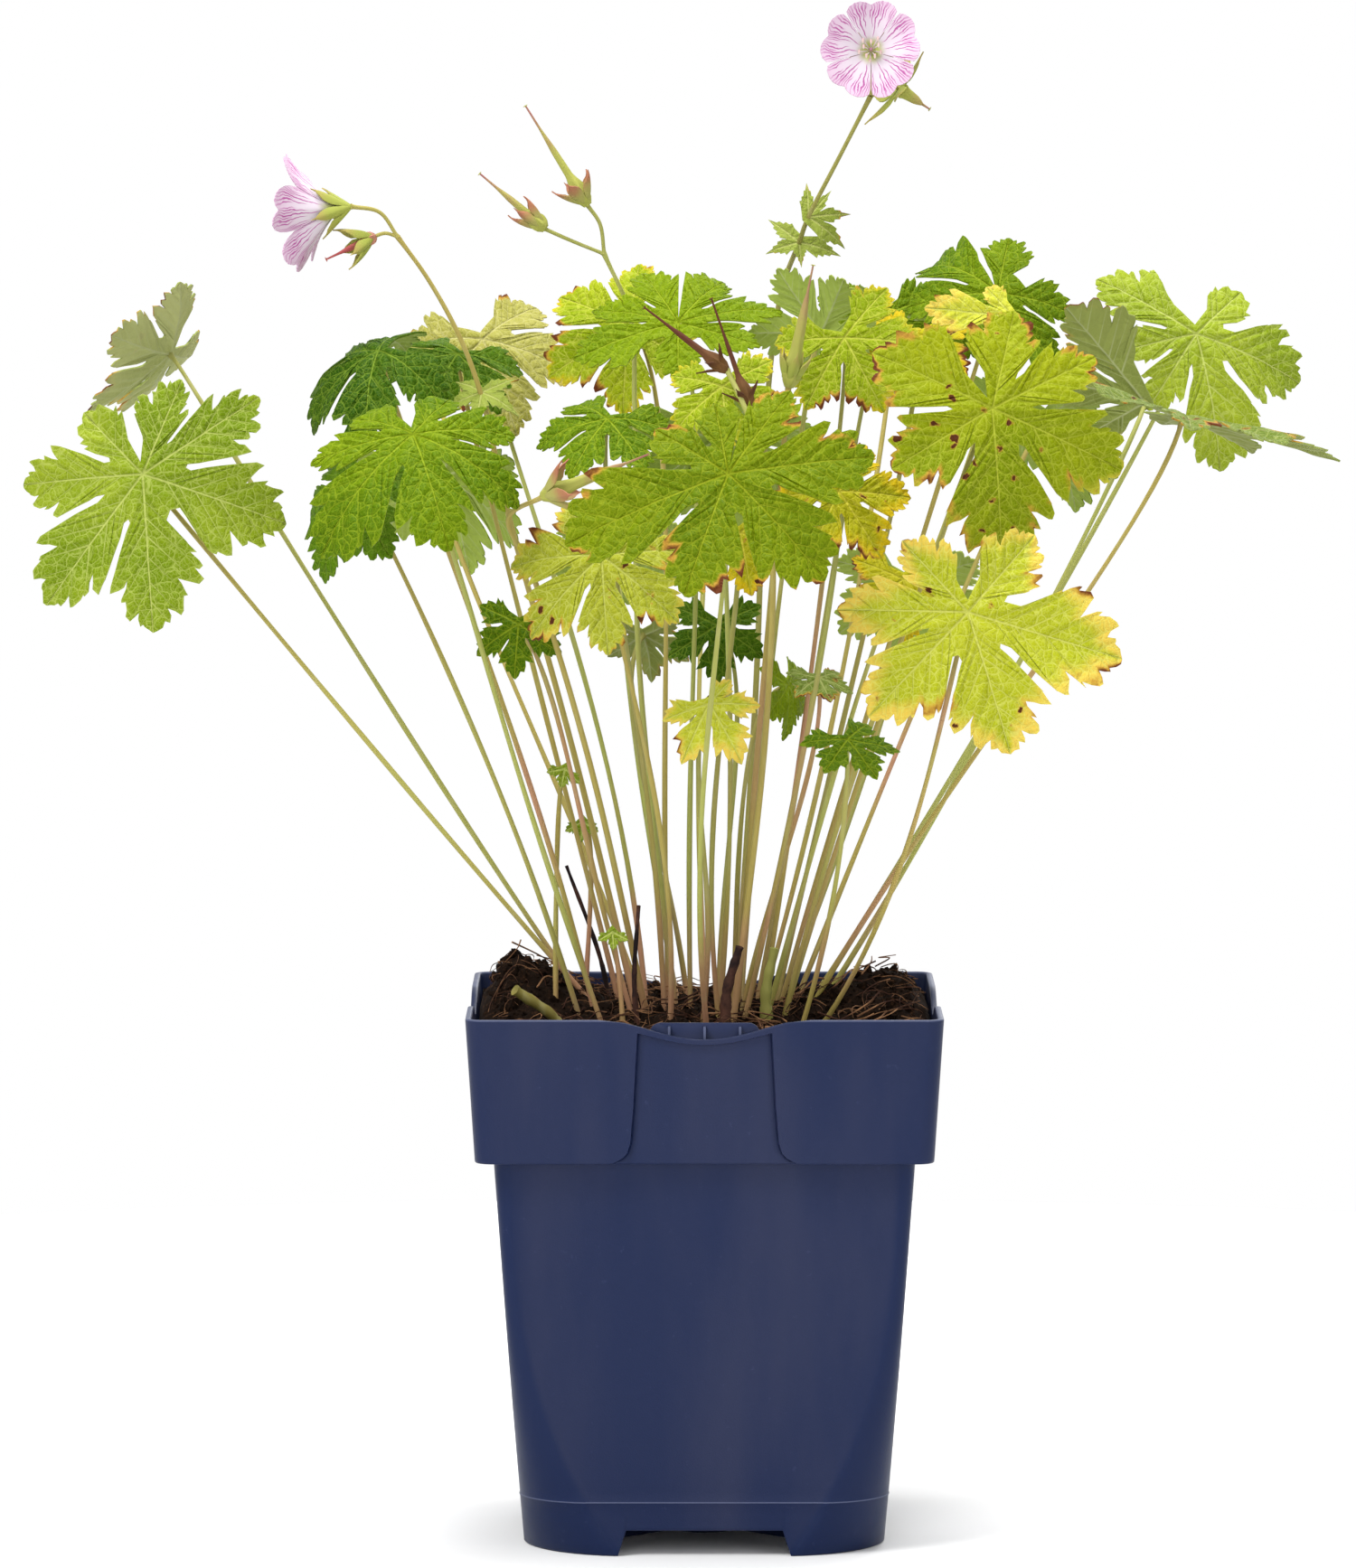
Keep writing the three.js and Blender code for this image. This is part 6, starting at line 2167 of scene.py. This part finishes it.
@dataclass(frozen=True)
class Pot:
    """A square moulded pot, rounder at its foot, with a collar, sunk panels and a label tab.

    A half is half of a width. Each dip in the rim is dip_half to a side, dip_depth deep, and begins at
    dip_from. lip is the rim's height above the sunk panels, panel half of a panel's width at each
    height, and border the breadth of its edge. notch is half the width of the foot's notches at their
    inner and outer edges, and skew the angle at which the foot's rounded corners begin, in degrees. hub
    holds heights and radii, and drains the middles of the drain holes.
    """

    height: float = 124.0
    rim_half: float = 54.0
    collar_half: float = 51.9
    collar_height: float = 91.0
    body_half: float = 47.7
    foot_half: float = 41.3
    wall: float = 1.4
    floor: float = 5.85
    collar_corner: float = 4.0
    body_corner: float = 3.0
    foot_corner: float = 21.0
    corner_height: float = 64.0
    corner_power: float = 1.9
    dip_half: float = 22.0
    dip_depth: float = 4.4
    dip_from: float = 108.0
    notch: Pair = (17.8, 19.7)
    notch_top: float = 10.0
    panel_depth: float = 1.0
    border: float = 0.3
    crease: float = 0.25
    skew: float = 9.0
    lip: float = 1.9
    panel: tuple[Pair, ...] = (
        (60, 19.4), (90.9, 22.6), (91.2, 20.9), (92, 18.9),
        (93.4, 17.5), (95.5, 16.7), (104, 16.0), (124, 15.0),
    )
    rib: Point = (96, 1.6, 5.2)
    hub: tuple[Pair, ...] = ((0, 0), (0, 6.5), (0, 7.6), (0.15, 7.9), (0.5, 8), (5.9, 8))
    drains: tuple[Pair, ...] = ((11, 26.4), (11, -26.4), (-11, 26.4), (-11, -26.4))
    drain_radius: float = 4.5
    floor_depth: float = 1.4

    def section(self) -> list[Point]:
        """The wall's section: height, inset, and share of the way from the body to the collar.

        Returns:
            The section's points, from the foot up the outside and down the inside.
        """
        outer = [(0, 0.7, 0), (0.05, 0.35, 0), (0.25, 0.1, 0), (0.6, 0, 0)]
        outer += [(z, 0, 0) for z in (2.5, 5.85, 9, 11.9)]
        outer += [(12.15, -0.12, 0), (12.4, -0.16, 0), (12.65, -0.12, 0), (12.95, 0, 0), (15, 0, 0)]
        outer += [(z, 0, 0) for z in (20, 26, 32, 38, 44, 50, 56, 62, 68, 75, 82, 88, 90.4)]
        outer += [(90.8, 0, 0.03), (90.98, 0, 0.1), (91, 0, 0.3)]
        outer += [(91, 0, 0.85), (91.05, 0, 0.94), (91.25, 0, 0.99)]
        outer += [(z, 0, 1) for z in (91.6, 92.4, 93.4, 94.5, 96, 99, 104, 109, 114, 118, 121)]
        outer += [(z, 0, 1) for z in (122.1, 122.35, 122.45, 122.6, 123, 123.4, 123.7)]
        rim = [(123.92, 0.16, 1), (124, 0.45, 1), (124, 0.95, 1), (123.9, 1.25, 1)]
        inner = [(z, self.wall, 1) for z in (123.6, 122.5, 120, 116, 108, 96, 93)]
        inner += [(z, self.wall, blend) for z, blend in ((92.5, 0.95), (92.4, 0.5), (92.3, 0.05), (91.5, 0))]
        inner += [(z, self.wall, 0) for z in (80, 64, 48, 32, 20, 12, 7, 3, 0.6)]
        return outer + rim + inner + [(0.15, 1.25, 0), (0, 0.95, 0), (0, 0.7, 0)]

    def side(self, height: float, inset: float, blend: float) -> np.ndarray:
        """One side of a ring of the wall, from corner to corner, for the front.

        Args:
            height: where on the wall the ring is.
            inset: how far it is drawn in.
            blend: share of the way from the body to the collar.

        Returns:
            The places in millimetres, from the left corner to the right one.
        """
        low = max(0.0, 1 - height / self.corner_height) ** self.corner_power
        body = self.foot_half + (self.body_half - self.foot_half) * height / self.collar_height
        rise = self.height - self.collar_height
        collar = self.collar_half + (self.rim_half - self.collar_half) * (height - self.collar_height) / rise
        half = body * (1 - blend) + collar * blend - inset
        corner = self.body_corner + (self.foot_corner - self.body_corner) * low
        corner = max(corner * (1 - blend) + self.collar_corner * blend - inset, 0.8)
        edge = float(np.interp(height, *zip(*self.panel)))
        inner, outer = edge - 0.12, edge + 0.12
        if height <= self.panel[0][0]:
            inner, outer = self.notch[0], self.notch[1] - 1.5 * min(height / self.floor, 1)
        shares = np.array([0.08, 0.25, 0.45, 0.65, 0.82, 0.94, 1.0])
        near, far = inner - self.border, outer + self.border
        beyond = far + (half - corner - far) * shares
        along = np.concatenate([np.linspace(0, 1, 12) * near, [inner, outer, far], beyond])
        below = self.height - self.lip
        lipped = np.interp(height, (self.collar_height, below, below + 0.08), (1, 1, 0))
        sunk = self.panel_depth * (blend > 0.5) * (inset < 1) * lipped
        step = 0.2 * (sunk > 0.5) * (np.abs(along - inner) < 1e-6)
        depth = np.where(along <= inner + 1e-6, sunk, 0.0) + step
        flat = self.crease * np.interp(height, (0, 4, 84, 90), (0, 1, 1, 0)) * (1 - blend) * (inset < 0.5)
        depth = depth + flat * (along < half - corner - 0.2)
        skew = math.radians(self.skew * low * (1 - blend))
        turns = np.linspace(skew, math.pi / 4, 7)[1:]
        bow = corner * math.sqrt(0.5) / math.sin(math.pi / 4 - skew)
        axis = half - corner - bow * math.sin(skew)
        x = np.concatenate([along, axis + bow * np.sin(turns)])
        y = np.concatenate([-half + depth, bow * (math.cos(skew) - np.cos(turns)) - half])
        dip = self.dip_depth * np.cos(np.clip(along / self.dip_half, 0, 1) * math.pi / 2) ** 1.5
        dip = np.concatenate([dip, np.zeros(len(turns))]) * self.dipped(height)
        notch = np.where(x <= inner + 1e-6, self.floor, 0.0) * max(0.0, 1 - height / self.notch_top)
        right = np.stack([x, y, height - dip + notch], axis=1)
        left = right[:0:-1] * np.array([-1, 1, 1])
        return np.concatenate([left, right])

    def dipped(self, height: float) -> float:
        """The share of the dips that a height takes part in."""
        return np.clip((height - self.dip_from) / (self.height - self.dip_from), 0, 1)

    def ring(self, height: float, inset: float, blend: float) -> np.ndarray:
        """A whole ring of the wall, from four sides that share their corners.

        Args:
            height: where on the wall the ring is.
            inset: how far it is drawn in.
            blend: share of the way from the body to the collar.

        Returns:
            The ring's places.
        """
        front = self.side(height, inset, blend)[:-1]
        sides = [front]
        for _ in range(3):
            last = sides[-1]
            sides.append(np.stack([-last[:, 1], last[:, 0], last[:, 2]], axis=1))
        return np.concatenate(sides)

    def block(
        self, work: Patchwork, size: Point, centre: Point, radius: float, turn: float = 0.0
    ) -> None:
        """Adds a block with rounded edges to a patchwork.

        Args:
            work: what it is added to.
            size: its width, depth and height.
            centre: its middle.
            radius: the radius of its edges.
            turn: its turn about the upright through the pot's middle, in degrees.
        """
        half = np.array(size) / 2
        cos, sin = math.cos(math.radians(turn)), math.sin(math.radians(turn))
        steps = np.linspace(-1, 1, 9)
        for axis in range(3):
            for sign in (-1, 1):
                a, b = np.meshgrid(steps, steps, indexing="ij")
                face = np.empty((9, 9, 3))
                face[..., axis] = sign
                face[..., (axis + 1) % 3] = a
                face[..., (axis + 2) % 3] = b
                flat = face * half
                core = np.clip(flat, -(half - radius), half - radius)
                near = np.sign(face) * np.maximum(np.abs(flat) - (half - radius), 0)
                near = np.where(np.abs(face) > 0.99, np.sign(face) * radius, near)
                length = np.maximum(np.linalg.norm(near, axis=-1, keepdims=True), 1e-9)
                x, y, z = np.moveaxis(core + near / length * radius + np.array(centre), -1, 0)
                work.grid(np.stack([x * cos - y * sin, x * sin + y * cos, z], axis=-1), flip=sign > 0)

    def base(self, work: Patchwork) -> None:
        """Adds the crossed ribs and the hub under the floor.

        Args:
            work: what they are added to.
        """
        for turn in (45, 135):
            self.block(work, self.rib, (0, 0, 3.4), 0.25, turn)
        work.grid(lathe(self.hub, 32), wrap=True)

    def tab(self, work: Patchwork) -> None:
        """Adds the label tab with rounded corners behind the dip, and the three ribs that hold it.

        Args:
            work: what they are added to.
        """
        half, corner, foot, top = 12.5, 2.6, 109.0, 123.0
        front, back, edge = -50.4, -49.2, 0.15
        turns = np.linspace(0, math.pi / 2, 7)
        x, z = half - corner + corner * np.cos(turns), top - corner + corner * np.sin(turns)
        right = np.stack([x, z], axis=1)
        outline = np.concatenate([[(half, foot)], right, right[::-1] * (-1, 1), [(-half, foot)]])
        middle = ((foot + top) / 2) * np.array((0, 1))
        depths = (front, front, front + edge, back - edge, back, back)
        rings = []
        for y, shrink in zip(depths, (0.0, 0.988, 1.0, 1.0, 0.988, 0.0)):
            flat = middle + (outline - middle) * shrink
            rings.append(np.stack([flat[:, 0], np.full(len(flat), y), flat[:, 1]], axis=1))
        work.grid(np.array(rings), wrap=True)
        for x in (-8, 0, 8):
            self.block(work, (0.7, 1.8, 8.4), (x, -51.2, 118.2), 0.2)

    def floor_plate(self, finish: bpy.types.Material) -> bpy.types.Object:
        """The floor with its four drain holes, as a piece of its own.

        Args:
            finish: its material.

        Returns:
            The piece.
        """
        work = Patchwork()
        outline = self.ring(6.5, 0.9, 0.0) * np.array([1, 1, 0])
        upright = np.array([0, 0, 1])
        low = outline + self.floor * upright
        high = outline + (self.floor + self.floor_depth) * upright
        work.grid(np.array([low * upright, low, high, high * upright]), wrap=True)
        plate = work.piece("pot_floor", [finish])
        drains = Patchwork()
        radius = self.drain_radius
        for place in self.drains:
            drains.grid(lathe(((4, 0), (4, radius), (9, radius), (9, 0)), 24, place), wrap=True)
        cutter = drains.piece("drain_cutter", [])
        cut = plate.modifiers.new("drains", "BOOLEAN")
        cut.operation, cut.object, cut.solver = "DIFFERENCE", cutter, "EXACT"
        depsgraph = bpy.context.evaluated_depsgraph_get()
        mesh = bpy.data.meshes.new_from_object(plate.evaluated_get(depsgraph))
        plate.modifiers.remove(cut)
        plate.data = mesh
        mesh.polygons.foreach_set("use_smooth", [False] * len(mesh.polygons))
        bpy.data.objects.remove(cutter)
        return plate

    def make(self, skins: Skins) -> None:
        """Builds the walls with the foot and tab, and the floor.

        Args:
            skins: the finished materials by name.
        """
        plastic = skins["navy_plastic"]
        work = Patchwork()
        work.grid(np.array([self.ring(*row) for row in self.section()]), wrap=True)
        self.base(work)
        self.tab(work)
        placed(work.piece("pot_walls", [plastic]), ("pot", "pot_foot"))
        placed(self.floor_plate(plastic))


# ------------------------------------------------------------------------------------ studio


@dataclass(frozen=True)
class Studio:
    """A pale floor, soft lights and the camera.

    The lights face the place lit, in metres. Each has its name, place, side in metres and watts.
    """

    eye: Point = (-6.0, -2160.0, 352.0)
    pitch: float = 4.74
    lens: float = 249.9
    sensor: float = 36.0
    lit: Point = (0, 0, 0.18)
    floor_rings: tuple[float, ...] = (0, 200, 400, 600)
    lamps: tuple[tuple[str, Point, float, float], ...] = (
        ("key_light", (-0.9, -0.9, 1.6), 0.7, 30),
        ("fill_light", (1.2, -1.4, 0.8), 1.2, 9),
        ("front_light", (-0.3, -2.0, 0.7), 1.2, 9),
        ("top_light", (0.15, 0.1, 1.7), 0.7, 31),
        ("back_light", (0.6, 1.6, 0.9), 1.2, 8),
    )

    def floor(self) -> None:
        """Lays the pale floor."""
        w = Wiring("pale_floor")
        tone = w.mix(w.step(w.noise(3, 2), 0.3, 0.7), (0.82, 0.82, 0.82, 1), (0.84, 0.84, 0.84, 1))
        skin = w.surface(Base_Color=tone, Roughness=0.9, Specular_IOR_Level=0.1)
        work = Patchwork()
        work.grid(lathe([(0, reach) for reach in self.floor_rings], 96), wrap=True, flip=True)
        work.piece("studio_floor", [skin])

    def lamp(self, name: str, place: Point, size: float, power: float) -> None:
        """Hangs a square soft light that faces the plant.

        Args:
            name: the light's name.
            place: where it hangs, in metres.
            size: the length of its side in metres.
            power: its power in watts.
        """
        light = bpy.data.lights.new(name, "AREA")
        light.energy, light.size = power, size
        made = linked(name, light)
        made.location = place
        made.rotation_euler = (Vector(self.lit) - Vector(place)).to_track_quat("-Z", "Y").to_euler()

    def sky(self) -> None:
        """Makes the sky: white near the horizon all round, and dimmer above."""
        world = bpy.data.worlds.new("studio_sky")
        world.use_nodes = True
        sky = Nodes(world.node_tree)
        place = sky.node("ShaderNodeTexCoord", {}).outputs["Generated"]
        height = sky.node("ShaderNodeSeparateXYZ", {0: place}).outputs["Z"]
        ends = {"From Min": 0.3, "From Max": 0.6, "To Min": 1.0, "To Max": 0.3}
        fade = sky.node("ShaderNodeMapRange", {"Value": height, **ends}, interpolation_type="SMOOTHSTEP")
        background = sky.tree.nodes["Background"].inputs
        sky.put(background["Color"], (1, 1, 1, 1))
        sky.put(background["Strength"], fade.outputs["Result"])
        bpy.context.scene.world = world

    def make(self) -> None:
        """Sets the floor, the lights, the sky and the camera."""
        self.floor()
        for lamp in self.lamps:
            self.lamp(*lamp)
        self.sky()
        scene = bpy.context.scene
        scene.view_settings.view_transform = "Standard"
        camera = bpy.data.cameras.new("camera")
        camera.sensor_fit, camera.sensor_width, camera.lens = "HORIZONTAL", self.sensor, self.lens
        camera.clip_start, camera.clip_end = 0.1, 20
        made = linked("camera", camera)
        made.location = [value * MM for value in self.eye]
        made.rotation_euler = (math.radians(90 - self.pitch), 0, 0)
        scene.camera = made


def finishes() -> Skins:
    """Makes every finish once.

    Returns:
        The materials by name.
    """
    skins = [
        *(MouldedPlastic(), Peat(), DryFibre(), StemSkin(), PetalSkin()),
        *(tone.value[1] for tone in Tone),
        LeafSkin(
            "bract_leaf", paint(160, 174, 74), paint(140, 158, 56), paint(190, 196, 112), brown=0.8, net=0.2
        ),
        DryFibre("dead_bark", paint(34, 24, 26), paint(108, 72, 58)),
        StemSkin("cut_stem_skin", paint(156, 148, 70), paint(140, 130, 62), paint(134, 118, 58)),
        StemSkin("shoot_skin", paint(172, 178, 88), paint(160, 164, 80), paint(170, 156, 84)),
        PlainSkin("green_sepal", paint(176, 184, 84), paint(188, 172, 96), turn=0.7),
        PlainSkin("red_sepal", paint(188, 184, 104), paint(190, 126, 96), turn=0.6),
        PlainSkin("green_beak", paint(186, 188, 92), paint(178, 112, 110), turn=0.8),
        PlainSkin("red_beak", paint(200, 140, 116), paint(190, 92, 92)),
        PlainSkin("brown_beak", paint(124, 88, 52), paint(104, 60, 44), rough=0.75),
        PlainSkin("brown_sepal", paint(136, 96, 54), paint(92, 58, 38), rough=0.75),
        PlainSkin("pale_stamen", paint(224, 230, 176), paint(250, 228, 236)),
        PlainSkin("pink_anther", paint(250, 226, 214), paint(232, 190, 190)),
        PlainSkin("pistil", paint(196, 200, 110), paint(186, 120, 156), turn=0.8),
        PlainSkin("stem_hair", paint(216, 214, 168), paint(230, 226, 196), rough=0.5),
    ]
    return {skin.name: skin.material() for skin in skins}


def main() -> None:
    """Builds the plant from the pot upwards, then the studio."""
    logging.basicConfig(level=logging.INFO, format="%(name)s: %(message)s")
    skins = finishes()
    Pot().make(skins)
    Soil().make(skins)
    for maker in (*LEAVES, *SPRAYS, *FLOWERS, *STUBS):
        maker.make(skins)
    StemHairs().make(LEAVES, SPRAYS, skins["stem_hair"])
    Studio().make()
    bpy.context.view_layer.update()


if __name__ == "__main__":
    main()
